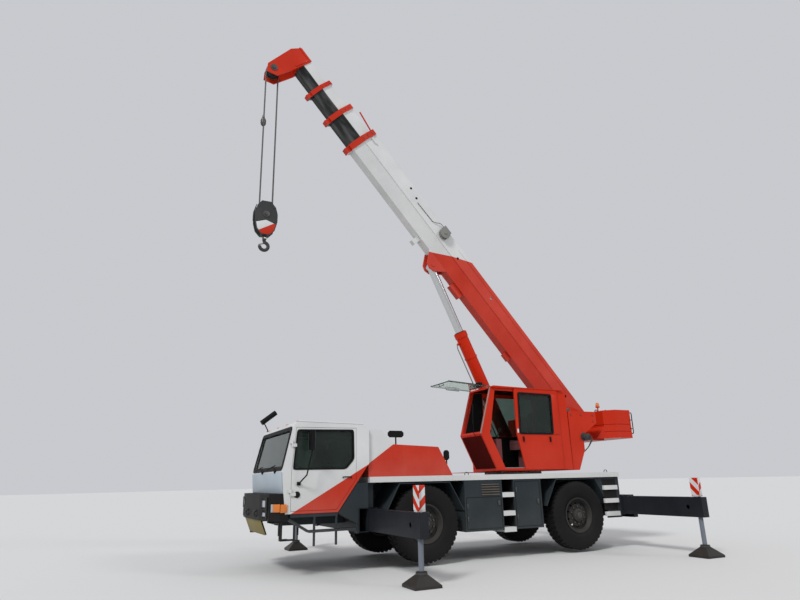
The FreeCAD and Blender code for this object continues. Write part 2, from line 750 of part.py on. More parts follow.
def mudguards():
    pieces = []
    for name, y in axles:
        outline = [(y - 835, 950.0), (y - 540, 1470.0), (y + 540, 1470.0), (y + 835, 950.0),
                   (y + 820, 940.0), (y + 530, 1455.0), (y - 530, 1455.0), (y - 820, 940.0)]
        guard = side_plate(outline, rail_half, skirt_half)
        guard = guard.cut(box(body_half - 95, body_half, rear_steps_y[0] - 10, deck_rear, 0.0, frame_top))
        pieces.extend(both(guard))
    return pieces + both(sills()) + [corner_panel(side) for name, side in sides]


def outrigger_boxes():
    """Two lanes side by side at each end, slotted where the jack's tube comes in with the beam."""
    pieces = []
    for (low, high, z0, z1), (name, y, z, step) in zip(housing_spans(), outriggers):
        shell = box(-body_half, body_half, low, high, z0, z1)
        for side in (1, -1):
            centre = lane_y(y, step, side)
            hole = box(-body_half - 5, body_half + 5, centre - lane / 2 - gap, centre + lane / 2 + gap,
                       z - gap, z + beam_height + gap)
            slot = box(body_half - 180, body_half + 5, centre - jack_tube - gap, centre + jack_tube + gap,
                       z0 - 5, z1 + 5)
            shell = shell.cut(hole).cut(sided(slot, side))
            for z_pad in (z - gap, z + beam_height + seat_gap):
                pad = box(body_half - 330, body_half - 200, centre - lane / 2, centre + lane / 2,
                          z_pad, z_pad + gap - seat_gap)
                shell = shell.fuse(sided(pad, side))
        pieces.append(shell.removeSplitter())
    rear = housing_spans()[1][1]
    tail = box(-body_half + 60, body_half - 60, rear, rear + tail_depth, tail_bottom, tail_top)
    tail = tail.cut(box(-body_half + 60 + plate, body_half - 60 - plate, rear - 5, rear + tail_depth - plate,
                        tail_bottom + plate, tail_top - plate))
    x0, x1, z0, z1 = tail_lamp
    lamps = both(box(x0, x1, rear + tail_depth - 5, rear + tail_depth + 30, z0, z1))
    pieces[-1] = join([pieces[-1], tail] + lamps)
    return pieces


def outrigger_beam(y, z, side):
    """Box beam with the jack's tube and a marker board on its end."""
    end = jack_x + beam_end
    top = z + beam_height
    shape = box(end - beam_length, end, y - lane / 2, y + lane / 2, z, top)
    hollow = box(end - beam_length - 5, jack_x - beam_end, y - lane / 2 + plate, y + lane / 2 - plate,
                 z + plate, top - plate)
    tube = rod_z(jack_tube, top - 20, jack_top, jack_x, y)
    board = box(jack_x - 70, jack_x + 110, y - jack_tube - 8, y - jack_tube + 4, top + 40, jack_top)
    bore = rod_z(jack_tube - jack_wall, z - 5, jack_top - 15, jack_x, y)
    pin_hole = rod_y(beam_hole, y - lane, y + lane, beam_hole_x, z + beam_height / 2)
    return join([shape.cut(hollow), tube, board]).cut(bore).cut(pin_hole)


def jack(y):
    rod = rod_z(rod_radius, pad_height - 40, rod_top, jack_x, y)
    collar = rod_z(jack_tube - jack_wall - seat_gap, rod_top - 210, rod_top - 10, jack_x, y)
    half, top = pad_half, 60.0
    low = Part.makePolygon([Vector(jack_x + a * half, y + b * half, 40.0) for a, b in
                            ((-1, -1), (1, -1), (1, 1), (-1, 1), (-1, -1))])
    high = Part.makePolygon([Vector(jack_x + a * top, y + b * top, pad_height) for a, b in
                             ((-1, -1), (1, -1), (1, 1), (-1, 1), (-1, -1))])
    pyramid = Part.makeLoft([low, high], True, True)
    sole = box(jack_x - half, jack_x + half, y - half, y + half, 0.0, 40.0)
    cup = rod_z(84.0, pad_height - 40, pad_height + 30, jack_x, y)
    return join([sole, pyramid, cup, rod, collar])


def turntable_frame():
    ledge = weight_bottom - seat_gap
    tail = [frame_knee, (platform_back, platform_bottom)]
    outline = frame_side + [(y, ledge - 40) for y in frame_toe] + tail
    pieces = [box(-frame_half, frame_half, platform_front, platform_back, platform_bottom, platform_bottom + 60)]
    ring = rod_z(ring_radius - 40, ring_top + seat_gap, platform_bottom + 5, 0.0, slew_y)
    pieces.append(ring)
    for side in (1, -1):
        x0, x1 = sorted((side * (frame_half - frame_plate), side * frame_half))
        pieces.append(side_plate(outline, x0, x1))
        pieces.append(side_plate(tower_side + tail, *sorted((side * frame_half, side * tower_outer))))
        reach, y0, y1 = floor_side
        pieces.append(box(*sorted((side * frame_half, side * reach)), y0, y1, platform_bottom, floor_top))
        reach, y0, y1 = ledge_side
        pieces.append(box(*sorted((side * frame_half, side * reach)), y0, y1, ledge - 40, ledge))
        stub = rod_x(foot_pin, eye_half + 5, frame_half, foot_y, foot_z)
        pieces.append(sided(stub, side))
    pieces.append(rod_x(pivot_radius, -frame_half, frame_half, pivot_y, pivot_z))
    shaft_hole = rod_x(winch_shaft + seat_gap, -frame_half - 40, frame_half + 40, winch_y, winch_z)
    return join(pieces).cut(shaft_hole)


def counterweight():
    """Cast block with chamfered corners, two seams round it and a notch that holds the frame."""
    chamfer, rear_chamfer = weight_chamfers
    notch = frame_half + 20
    corner = [(weight_half - chamfer, weight_front), (weight_half, weight_front + chamfer),
              (weight_half, weight_rear - rear_chamfer), (weight_half - rear_chamfer, weight_rear)]
    plan = [(-x, y) for x, y in corner] + list(reversed(corner))
    block = top_plate(plan, weight_bottom, weight_top)
    toe = side_plate([(weight_front - 250, weight_bottom), (weight_front + 5, weight_bottom),
                      (weight_front + 5, weight_bottom + 270)], -weight_half + chamfer, weight_half - chamfer)
    block = block.fuse(toe)
    for z in weight_seams:
        band = top_plate(plan, z - 6, z + 6)
        block = block.cut(band.cut(top_plate(inset(plan, 14.0), z - 7, z + 7)))
    hollow = box(-notch, notch, weight_front - 300, notch_rear, weight_bottom - 5, weight_top + 5)
    return block.cut(hollow).removeSplitter()


def upper_shell():
    outer = side_plate(upper_side, upper_inner, upper_outer)
    inner = side_plate(inset(upper_side, upper_wall), upper_inner + upper_wall, upper_outer - upper_wall)
    shell = outer.cut(inner)
    shell = shell.cut(side_plate(upper_opening, upper_outer - upper_wall - 5, upper_outer + 5))
    shell = shell.cut(box(upper_inner - 5, upper_inner + upper_wall + 5, *inner_window))
    shell = shell.cut(box(upper_outer - upper_wall - 5, upper_outer + 5, *rear_window))
    upper, lower = runner_zs
    for z in (upper + seat_gap, lower - seat_gap):
        runner = box(upper_outer - 5, upper_outer + gap + slide_leaf + 4, *runner_span, z, z + runner_height)
        shell = shell.fuse(runner)
    for x in (upper_inner + 22, upper_outer - 30):
        shell = shell.fuse(screen_hinge(x))
    for edge, window in zip(window_edges, (front_window, back_window)):
        shell = shell.cut(box(upper_inner + edge, upper_outer - edge, *window))
    return shell


def upper_glass():
    panes = []
    for middle, (y0, y1, z0, z1) in ((upper_inner + upper_wall / 2, inner_window),
                                     (upper_outer - upper_wall / 2, rear_window)):
        panes.append(box(middle - glass / 2, middle + glass / 2, y0 + seat_gap, y1 - seat_gap,
                         z0 + seat_gap, z1 - seat_gap))
    y0, y1, z0, z1 = back_window
    edge = window_edges[1] + seat_gap
    panes.append(box(upper_inner + edge, upper_outer - edge, y0 + 40, y0 + 40 + glass,
                     z0 + seat_gap, z1 - seat_gap))
    return panes


def screen_hinge(x):
    """Lug with a pin at the roof's front edge, that the flip-up windscreen turns on."""
    lug = box(x, x + 8, screen_y - 10, screen_y + 50, screen_z - 12, screen_z + 8)
    return lug.fuse(rod_x(screen_pin, x, x + 8, screen_y, screen_z)).fuse(
        rod_x(screen_pin, x - 26, x + 34, screen_y, screen_z))


def roof_screen():
    """The crane cab's windscreen, flipped up so that it stands out ahead of the roof."""
    rise = math.radians(screen_rise)
    ahead = (-math.cos(rise), math.sin(rise))
    above = (math.sin(rise), math.cos(rise))

    def at(along_pane, up):
        return (screen_y + along_pane * ahead[0] + up * above[0], screen_z + along_pane * ahead[1] + up * above[1])

    pane = side_plate([at(30, 0), at(screen_length, 0), at(screen_length, glass), at(30, glass)],
                      upper_inner + 30, upper_outer - 30)
    rails = []
    for x in (upper_inner + 30 + seat_gap, upper_outer - 55 - seat_gap):
        rail = side_plate([at(-14, -12), at(20, -12), at(screen_length, -2), at(screen_length, 30), at(-14, 14)],
                          x, x + 25)
        rails.append(rail.cut(rod_x(screen_pin + seat_gap, x - 5, x + 30, screen_y, screen_z)))
    return join([pane] + rails)


def operator_seat():
    floor = upper_bottom + upper_wall + seat_gap
    middle = (upper_inner + upper_outer) / 2
    half, y0, y1, top = operator_base
    base = box(middle - half, middle + half, y0, y1, floor, top)
    half, y0, y1, high = operator_cushion
    cushion = box(middle - half, middle + half, y0, y1, top, high)
    back = side_plate(operator_back, middle - half + 10, middle + half - 10)
    half, y0, y1, top = operator_console
    return [join([base, cushion, back]), box(middle - half, middle + half, y0, y1, floor, top)]


def sliding_door():
    x0 = upper_outer + gap
    x1 = x0 + slide_leaf
    leaf = side_plate(slide_side, x0, x1).cut(side_plate(slide_window, x0 - 5, x1 + 5))
    runner = box(x0 + 5, x1 - 5, 2230.0, 3340.0, slide_side[1][1] - 10, runner_zs[0])
    return leaf.fuse(runner), side_plate(inset(slide_window, seat_gap), x0 + 12, x0 + 12 + glass)


def boom_place(shape):
    """Stands a shape drawn along +Y (s) and -Z (n) at the pivot, at the boom's angle."""
    copy = shape.copy()
    copy.rotate(Vector(0, 0, 0), Vector(1, 0, 0), 180 - boom_angle)
    copy.translate(Vector(0, pivot_y, pivot_z))
    return copy


def boom_point(s, n):
    a = math.radians(boom_angle)
    return Vector(0, pivot_y - s * math.cos(a) - n * math.sin(a), pivot_z + s * math.sin(a) - n * math.cos(a))


def hexagon(half, top, bottom, grow=0.0):
    """Cross-section of a boom section: upright sides above, tapered to a narrow underside."""
    depth = bottom - top
    half, top, bottom = half + grow, top - grow, bottom + grow
    knee = top + grow + 0.52 * depth
    return [(-half, top), (half, top), (half, knee), (half * 0.5, bottom), (-half * 0.5, bottom), (-half, knee)]


def along(section, s0, s1):
    wire = Part.makePolygon([Vector(x, s0, n) for x, n in section + section[:1]])
    return Part.Face(wire).extrude(Vector(0, s1 - s0, 0))


def boom_section(row):
    name, rear, front, half, top, bottom, collar = row
    shape = along(hexagon(half, top, bottom), rear, front)
    if collar:
        ring = along(hexagon(half, top, bottom, 28.0), front - collar, front)
        foot = box(-70.0, 70.0, front - collar, front - 10, bottom + 20, bottom + 150)
        ear = box(60.0, 150.0, front - collar + 20, front - 20, top - 90, top - 20)
        shape = join([shape, ring, foot, ear])
    shape = shape.cut(along(hexagon(half, top, bottom, -skin), rear - 5, front + 5))
    return shape


def wear_ring(inner_row, outer_row):
    """Slide pads in the mouth of a section, round the section that runs in it."""
    half, top, bottom = outer_row[3:6]
    ring = along(hexagon(half, top, bottom, -skin), outer_row[2] - 90, outer_row[2])
    hole = along(hexagon(*inner_row[3:6], seat_gap), outer_row[2] - 95, outer_row[2] + 5)
    return ring.cut(hole)


def luff_line():
    eye = boom_point(eye_s, eye_n)
    foot = Vector(0, foot_y, foot_z)
    line = eye - foot
    return foot, eye, line.normalize()


def boom_head():
    row = boom_sections[-1]
    front, top, bottom = row[2], row[4], row[5]
    cheek = [(front - 60, top - 34), (front + 330, top - 34), (front + 420, top + 226), (nose_s + 150, nose_n + 60),
             (nose_s, nose_n + 210), (nose_s - 200, nose_n + 60), (front - 60, bottom + 34)]
    shapes = []
    for x in (-185.0, 160.0):
        wire = Part.makePolygon([Vector(x, s, n) for s, n in cheek + cheek[:1]])
        shapes.append(Part.Face(wire).extrude(Vector(25, 0, 0)))
    return shapes


def base_fittings():
    """Pivot lugs near the foot of the boom and the two ears that hold the cylinder's eye."""
    half, bottom = boom_sections[0][3], boom_sections[0][5]
    lug = [(-260.0, -300.0), (260.0, -300.0), (260.0, -60.0), (130.0, 100.0), (0.0, 130.0), (-130.0, 100.0),
           (-260.0, -60.0)]
    ear = [(eye_s - 330, bottom - 5), (eye_s + 330, bottom - 5), (eye_s + 120, eye_n + 90),
           (eye_s, eye_n + 130), (eye_s - 120, eye_n + 90)]
    shapes = []
    for x, depth, outline in ((half - 40.0, 40.0, lug), (eye_half + 5, 35.0, ear)):
        wire = Part.makePolygon([Vector(x, s, n) for s, n in outline + outline[:1]])
        shapes += both(Part.Face(wire).extrude(Vector(depth, 0, 0)))
    return shapes


def boom_extras():
    """Fittings of the base section: sensor reel, rope guide, brackets, top rail, stop bar and hose hook."""
    half, top, bottom = boom_sections[0][3:6]
    front = boom_sections[0][2]
    hub = rod_x(40.0, half - 5, half + 25, reel_s, reel_n)
    shapes = [rod_x(95.0, half + 20, half + 90, reel_s, reel_n).fuse(hub)]
    for edge, fittings in ((top, top_fittings), (bottom, bottom_fittings)):
        shapes += [box(x0, x1, s0, s1, edge + n0, edge + n1) for x0, x1, s0, s1, n0, n1 in fittings]
    shapes.append(bar(18.0, Vector(stop_x, front - 60, top - 58), Vector(stop_x, front + stop_reach, top - 150)))
    return shapes


def side_holes(shape):
    """Cuts the round holes near the top edge of both of the base section's sides."""
    half = boom_sections[0][3]
    for s in side_hole_s:
        shape = shape.cut(rod_x(34.0, -half - 30, half + 30, s, side_hole_n))
    return shape


def pivot_hole():
    return rod_x(pivot_radius + seat_gap, -400.0, 400.0, 0.0, 0.0)


def eye_pin():
    reach = eye_half + 40
    return Part.makeCylinder(45.0, 2 * reach, Vector(-reach, eye_s, eye_n), Vector(1, 0, 0))


def groove():
    """Radius of a sheave's groove, on which the rope lies with its centre at rope_offset."""
    return rope_offset - rope_radius - seat_gap


def sheave(x, y, z):
    return lathe_x([
        (x - 26, 60.0), (x + 26, 60.0), (x + 26, sheave_radius), (x + 14, groove()), (x - 14, groove()),
        (x - 26, sheave_radius),
    ], y, z)


def head_sheaves():
    """Rope sheaves side by side on the pin of the boom's nose."""
    sheaves = []
    for x in sheave_xs:
        sheaves.append(sheave(x, 0.0, 0.0))
    pin = rod_x(60.0 - seat_gap, -160.0, 160.0, 0.0, 0.0)
    return [moved(shape, y=nose_s, z=nose_n) for shape in sheaves + [pin]]


def luff_barrel():
    """Barrel with a lug that stands between the two halves of the frame's foot pin."""
    foot, eye, line = luff_line()
    tube = Part.makeCylinder(barrel_radius, barrel_length - 160.0, foot + line * 160.0, line)
    tube = tube.cut(Part.makeCylinder(barrel_radius - 30.0, barrel_length, foot + line * 200.0, line))
    gland = Part.makeCylinder(barrel_radius + 14, 130.0, foot + line * (barrel_length - 130.0), line)
    bore = Part.makeCylinder(luff_rod_radius + seat_gap, 400.0, foot + line * (barrel_length - 200), line)
    gland = gland.cut(bore)
    lug = rod_x(130.0, -eye_half, eye_half, foot_y, foot_z)
    neck = Part.makeCylinder(eye_half - 2, 180.0, foot, line)
    return join([tube, gland, lug, neck])


def luff_rod():
    foot, eye, line = luff_line()
    length = (eye - foot).Length
    rod = Part.makeCylinder(luff_rod_radius, length - 40.0 - rod_start, foot + line * rod_start, line)
    lug = rod_x(100.0, -eye_half, eye_half, eye.y, eye.z)
    rod = rod.cut(box(-200.0, 200.0, eye.y - 130, eye.y + 130, eye.z - 60, eye.z + 300))
    neck = Part.makeCylinder(eye_half - 2, 200.0, eye - line * 200.0, line)
    piston = Part.makeCylinder(barrel_radius - 30.0 - seat_gap, 120.0, foot + line * (rod_start - 40), line)
    hole = rod_x(45.0 + seat_gap, -150.0, 150.0, eye.y, eye.z)
    return join([rod, neck, lug, piston]).cut(hole)


def rope_top():
    return boom_point(nose_s, nose_n)


def hoist_ropes():
    top = rope_top()
    pieces = []
    for x in sheave_xs:
        for dy in (-rope_offset, rope_offset):
            pieces.append(rod_z(rope_radius, block_sheave_z, top.z, x, top.y + dy))
    return pieces


def hook_block():
    y = rope_top().y
    shape = []
    for x in (-100.0, 76.0):
        front = [(y - 90, block_bottom), (y - 190, block_bottom + 110), (y - 235, block_bottom + 280),
                 (y - 235, block_top - 290), (y - 190, block_top - 110), (y - 100, block_top)]
        cheek = front + [(2 * y - edge, z) for edge, z in reversed(front)]
        shape.append(side_plate(cheek, x, x + 24.0))
    shape.append(rod_x(60.0, -90.0, 90.0, y, block_sheave_z))
    shape += [sheave(x, y, block_sheave_z) for x in sheave_xs]
    shape.append(box(-76.0, 76.0, y - 90, y + 90, block_bottom, block_bottom + 90))
    return join(shape)


def crane_hook():
    """Forged hook hanging from the block's crosshead."""
    y = rope_top().y
    shank = rod_z(38.0, block_bottom - 120.0, block_bottom - seat_gap, 0.0, y)
    centre = Vector(0, y, hook_bottom + 125.0)
    ring = Part.makeTorus(88.0, 36.0, centre, Vector(1, 0, 0))
    gap_box = box(-60.0, 60.0, y - 150.0, y - 20.0, hook_bottom + 125.0, hook_bottom + 400.0)
    return join([ring.cut(gap_box), shank])


def winch():
    reach = frame_half - frame_plate - 5
    drum = rod_x(drum_radius, -reach, reach, winch_y, winch_z)
    flanges = [rod_x(flange_radius, x, x + 25.0, winch_y, winch_z) for x in (-reach, reach - 25)]
    shaft = rod_x(winch_shaft, -frame_half - 30, frame_half + 30, winch_y, winch_z)
    return join([drum, shaft] + flanges)


def beacon():
    x, y = 700.0, weight_front + 90
    stem = rod_z(14.0, weight_top, weight_top + 95, x, y)
    seat = rod_z(48.0, weight_top + 90, weight_top + 115, x, y)
    lamp = Part.makeCone(44.0, 30.0, 85.0, Vector(x, y, weight_top + 115), Vector(0, 0, 1))
    return join([stem, seat, lamp])


for name, y in axles:
    for side_name, side in sides:
        put("knuckle_" + name + "_" + side_name, sided(knuckle(y), side))
        put("rim_" + name + "_" + side_name, sided(rim(y), side))
        put("tyre_" + name + "_" + side_name, sided(tyre(y), side))

for name, y, z, step in outriggers:
    for side_name, side in sides:
        lane_centre = lane_y(y, step, side)
        put("outrigger_beam_" + name + "_" + side_name, sided(outrigger_beam(lane_centre, z, side), side))
        put("jack_" + name + "_" + side_name, sided(jack(lane_centre), side))

put("chassis_frame", chassis_frame())
put("axles", axle(0.0), axle(wheelbase))
put("carrier_cab", cab_shell())
put("cab_glass", *cab_glass())
put("cab_interior", *cab_interior())
for side_name, side in sides:
    put("cab_door_" + side_name, sided(door_leaf(), side))
    put("door_glass_" + side_name, sided(door_pane(), side))
    put("door_mirror_" + side_name, sided(door_mirror(), side))
put("roof_mirror", roof_mirror(), *[hood_mirror(*row) for row in hood_mirrors])
put("bumper", bumper())
put("engine_hood", engine_hood())
put("engine_block", engine())
put("deck", deck())
put("side_boxes", *side_boxes())
put("step_plates", *step_plates())
put("mudguards", *mudguards())
put("outrigger_boxes", *outrigger_boxes())

put("turntable_frame", turntable_frame())
put("counterweight", counterweight())
put("operator_cab", upper_shell())
put("operator_glass", *upper_glass())
put("operator_seat", *operator_seat())
put("roof_screen", roof_screen())
leaf, pane = sliding_door()
put("sliding_door", leaf)
put("sliding_door_glass", pane)

for index, row in enumerate(boom_sections):
    shape = boom_section(row)
    if index == 0:
        shape = side_holes(join([shape] + base_fittings() + boom_extras()).cut(pivot_hole()))
        shape = shape.fuse(eye_pin())
    if index + 1 < len(boom_sections):
        shape = join([shape, wear_ring(boom_sections[index + 1], row)])
    if index + 1 == len(boom_sections):
        shape = join([shape] + boom_head())
    put(row[0], boom_place(shape))
put("head_sheaves", *[boom_place(shape) for shape in head_sheaves()])
put("luff_barrel", luff_barrel())
put("luff_rod", luff_rod())
put("hoist_ropes", *hoist_ropes())
put("hook_block", hook_block())
put("crane_hook", crane_hook())
put("winch_drum", winch())
put("beacon", beacon())
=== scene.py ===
import json
import math

import bpy
from mathutils import Matrix, Vector


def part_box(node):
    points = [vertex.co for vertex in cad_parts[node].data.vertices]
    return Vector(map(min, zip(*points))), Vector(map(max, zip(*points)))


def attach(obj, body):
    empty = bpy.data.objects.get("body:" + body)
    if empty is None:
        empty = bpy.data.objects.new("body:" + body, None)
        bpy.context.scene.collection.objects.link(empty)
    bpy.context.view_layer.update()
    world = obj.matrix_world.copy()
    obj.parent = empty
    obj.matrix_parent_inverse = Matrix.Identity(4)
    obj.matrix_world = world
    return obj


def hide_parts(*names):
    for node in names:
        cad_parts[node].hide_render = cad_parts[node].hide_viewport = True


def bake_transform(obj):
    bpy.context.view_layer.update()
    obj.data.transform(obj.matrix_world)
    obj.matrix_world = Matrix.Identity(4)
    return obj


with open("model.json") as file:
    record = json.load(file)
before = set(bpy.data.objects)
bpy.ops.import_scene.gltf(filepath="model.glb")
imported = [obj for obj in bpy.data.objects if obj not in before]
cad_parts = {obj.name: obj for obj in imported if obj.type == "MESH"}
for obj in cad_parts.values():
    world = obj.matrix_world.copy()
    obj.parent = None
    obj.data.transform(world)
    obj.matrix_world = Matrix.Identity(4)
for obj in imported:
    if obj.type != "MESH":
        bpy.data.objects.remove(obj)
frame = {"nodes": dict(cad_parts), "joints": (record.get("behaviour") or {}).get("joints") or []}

# A two-axle mobile crane. Metres, +Z up, the carrier faces -Y, the crane's left side is +X.

node = frame["nodes"]
joint = {j["name"]: j for j in frame["joints"]}
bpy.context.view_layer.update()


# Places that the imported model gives

def middle(name):
    low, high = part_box(name)
    return (low + high) / 2


front_axle = middle("tyre_front_left")
rear_axle = middle("tyre_rear_left")
axle_y = {"front": front_axle.y, "rear": rear_axle.y}
wheel_x = front_axle.x
axle_z = front_axle.z
tyre_radius = axle_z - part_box("tyre_front_left")[0].z
body_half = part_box("deck")[1].x
deck_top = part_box("deck")[1].z - 0.05
pivot = Vector(joint["luff"]["pos_m"])
nose = Vector(joint["line_hang"]["pos_m"])
boom_line = Vector(joint["telescope_1"]["axis"])
boom_under = Vector((0.0, -boom_line.z, boom_line.y))


x_axis = Vector((1.0, 0.0, 0.0))
z_axis = Vector((0.0, 0.0, 1.0))


def along_x(step):
    return Vector((step, 0.0, 0.0))


def along_y(step):
    return Vector((0.0, step, 0.0))


def along_z(step):
    return Vector((0.0, 0.0, step))


def from_axle(y):
    """Places along the carrier are measured from the front axle, as on a drawing."""
    return front_axle.y + y


def on_boom(x, s, n):
    """A point at x across, s along and n below the line through the boom's pivot."""
    point = pivot + boom_line * s + boom_under * n
    return Vector((x, point.y, point.z))


# Shader groups

def new_group(name, inputs, outputs):
    group = bpy.data.node_groups.new(name, "ShaderNodeTree")
    for socket, kind, value in inputs:
        made = group.interface.new_socket(socket, in_out="INPUT", socket_type=kind)
        made.default_value = value
    for socket, kind in outputs:
        group.interface.new_socket(socket, in_out="OUTPUT", socket_type=kind)
    source = group.nodes.new("NodeGroupInput")
    drain = group.nodes.new("NodeGroupOutput")
    return group, source, drain


def place(tree, scale=(1.0, 1.0, 1.0), turn=(0.0, 0.0, 0.0)):
    """Object coordinates, scaled and turned."""
    coordinates = tree.nodes.new("ShaderNodeTexCoord")
    mapping = tree.nodes.new("ShaderNodeMapping")
    mapping.inputs["Scale"].default_value = scale
    mapping.inputs["Rotation"].default_value = turn
    tree.links.new(coordinates.outputs["Object"], mapping.inputs["Vector"])
    return mapping.outputs["Vector"]


def noise(tree, vector, scale, detail=4.0, rough=0.55):
    made = tree.nodes.new("ShaderNodeTexNoise")
    made.inputs["Scale"].default_value = scale
    made.inputs["Detail"].default_value = detail
    made.inputs["Roughness"].default_value = rough
    tree.links.new(vector, made.inputs["Vector"])
    return made.outputs["Fac"]


def feed(tree, socket, value):
    """Links a socket to a socket, or sets it to a plain value."""
    if isinstance(value, bpy.types.NodeSocket):
        tree.links.new(value, socket)
    else:
        socket.default_value = value


def sum_up(tree, operation, first, second=0.0, third=0.0, clamp=False):
    """A math node on sockets or plain values."""
    made = tree.nodes.new("ShaderNodeMath")
    made.operation = operation
    made.use_clamp = clamp
    for socket, value in zip(made.inputs, (first, second, third)):
        feed(tree, socket, value)
    return made.outputs[0]


def spread(tree, value, low, high, to_low=0.0, to_high=1.0):
    """Maps the range from low to high onto the range from to_low to to_high."""
    made = tree.nodes.new("ShaderNodeMapRange")
    sockets = ("Value", "From Min", "From Max", "To Min", "To Max")
    for socket, setting in zip(sockets, (value, low, high, to_low, to_high)):
        feed(tree, made.inputs[socket], setting)
    return made.outputs["Result"]


def fill_in(tree, shader, values):
    """Sets or links a shader's sockets by name."""
    for socket, value in values.items():
        feed(tree, shader.inputs[socket], value)


def blend_colours(tree, mask, first, second):
    """Inputs 6 and 7 and output 2 are the colour sockets of the mix node."""
    made = tree.nodes.new("ShaderNodeMix")
    made.data_type = "RGBA"
    feed(tree, made.inputs["Factor"], mask)
    feed(tree, made.inputs[6], first)
    feed(tree, made.inputs[7], second)
    return made.outputs[2]


def coordinate(tree, axis):
    """One object coordinate: 0 across, 1 along, 2 up."""
    coordinates = tree.nodes.new("ShaderNodeTexCoord")
    split = tree.nodes.new("ShaderNodeSeparateXYZ")
    tree.links.new(coordinates.outputs["Object"], split.inputs[0])
    return split.outputs[axis]


def weathering_group():
    """Fades a paint in patches, streaks it downwards and lays road dust over its lower parts."""
    group, source, drain = new_group("weathering", [("Paint", "NodeSocketColor", (0.8, 0.8, 0.8, 1.0)),
            ("Dust", "NodeSocketColor", (0.33, 0.3, 0.26, 1.0)), ("Amount", "NodeSocketFloat", 0.5),
            ("Dusty below", "NodeSocketFloat", 0.6), ("Clean above", "NodeSocketFloat", 2.2),
            ("Fading", "NodeSocketFloat", 0.12)], [("Colour", "NodeSocketColor"),
            ("Dirt", "NodeSocketFloat"), ("Grain", "NodeSocketFloat")])
    patches = noise(group, place(group), 1.7, 6.0)
    streaks = noise(group, place(group, (14.0, 14.0, 1.1)), 1.0, 5.0, 0.6)
    grain = noise(group, place(group), 60.0, 3.0)
    height = spread(group, coordinate(group, 2), source.outputs["Dusty below"],
                    source.outputs["Clean above"], 1.0, 0.0)
    broken = sum_up(group, "MULTIPLY_ADD", patches, 0.9, -0.25)
    settled = sum_up(group, "MULTIPLY", height, sum_up(group, "ADD", broken, 0.35))
    washed = spread(group, streaks, 0.55, 0.8, 0.0, 0.35)
    dirt = sum_up(group, "ADD", settled,
                  sum_up(group, "MULTIPLY", washed, sum_up(group, "ADD", patches, -0.1)))
    dirt = sum_up(group, "MULTIPLY", dirt, source.outputs["Amount"], clamp=True)
    shade = group.nodes.new("ShaderNodeHueSaturation")
    group.links.new(source.outputs["Paint"], shade.inputs["Color"])
    fade = spread(group, patches, 0.3, 0.7, sum_up(group, "SUBTRACT", 1.0, source.outputs["Fading"]),
                  sum_up(group, "ADD", 1.0, source.outputs["Fading"]))
    group.links.new(fade, shade.inputs["Value"])
    group.links.new(blend_colours(group, dirt, shade.outputs["Color"], source.outputs["Dust"]),
                    drain.inputs["Colour"])
    group.links.new(dirt, drain.inputs["Dirt"])
    group.links.new(grain, drain.inputs["Grain"])
    return group


def stripe_group():
    """1 on one half of each stripe and 0 on the other; they climb round the sides of an upright post."""
    group, source, drain = new_group("diagonal stripes", [
        ("Pitch", "NodeSocketFloat", 0.2), ("Lean", "NodeSocketFloat", 1.0)], [("Mask", "NodeSocketFloat")])
    across = sum_up(group, "SUBTRACT", coordinate(group, 0), coordinate(group, 1))
    run = sum_up(group, "MULTIPLY_ADD", across, source.outputs["Lean"], coordinate(group, 2))
    turn = sum_up(group, "FRACT", sum_up(group, "DIVIDE", run, source.outputs["Pitch"]))
    group.links.new(sum_up(group, "GREATER_THAN", turn, 0.5), drain.inputs["Mask"])
    return group


weathering = weathering_group()
stripes = stripe_group()


# Materials

def new_material(name):
    made = bpy.data.materials.new(name)
    made.use_nodes = True
    return made, made.node_tree, made.node_tree.nodes["Principled BSDF"]


def weathered(tree, paint, amount, below, above, fading=0.1, dust=(0.30, 0.27, 0.23, 1.0)):
    """The weathering group round a paint."""
    made = tree.nodes.new("ShaderNodeGroup")
    made.node_tree = weathering
    feed(tree, made.inputs["Paint"], paint)
    for socket, value in (("Dust", dust), ("Amount", amount), ("Dusty below", below),
                          ("Clean above", above), ("Fading", fading)):
        made.inputs[socket].default_value = value
    return made


def bumpy(tree, shader, height, strength, distance):
    bump = tree.nodes.new("ShaderNodeBump")
    bump.inputs["Strength"].default_value = strength
    bump.inputs["Distance"].default_value = distance
    feed(tree, bump.inputs["Height"], height)
    tree.links.new(bump.outputs["Normal"], shader.inputs["Normal"])


matt_specular = 0.12


def painted(name, colour, rough=0.35, dust=0.5, below=0.5, above=2.2, fading=0.1, coat=0.25, zones=None):
    """Enamel on sheet steel. zones gives a mask and a second colour, for paint in two colours."""
    made, tree, shader = new_material(name)
    base = (*colour, 1.0)
    if zones:
        mask, other = zones(tree)
        base = blend_colours(tree, mask, base, other
                             if isinstance(other, bpy.types.NodeSocket) else (*other, 1.0))
    coated = weathered(tree, base, dust, below, above, fading)
    dirt = coated.outputs["Dirt"]
    fill_in(tree, shader, {
        "Base Color": coated.outputs["Colour"], "Roughness": spread(tree, dirt, 0.0, 1.0, rough, 0.9),
        "Coat Weight": spread(tree, dirt, 0.0, 0.6, coat * 0.35, 0.0), "Coat Roughness": 0.12,
        "Specular IOR Level": matt_specular})
    bumpy(tree, shader, coated.outputs["Grain"], 0.12, 0.001)
    return made


def below_line(points):
    """Mask of what lies under a line of (y, z) points, straight between them."""
    def mask(tree):
        y, z = coordinate(tree, 1), coordinate(tree, 2)
        limit = points[0][1]
        for (y0, z0), (y1, z1) in zip(points, points[1:]):
            limit = sum_up(tree, "ADD", limit, spread(tree, y, y0, y1, 0.0, z1 - z0))
        return sum_up(tree, "LESS_THAN", z, limit)
    return mask


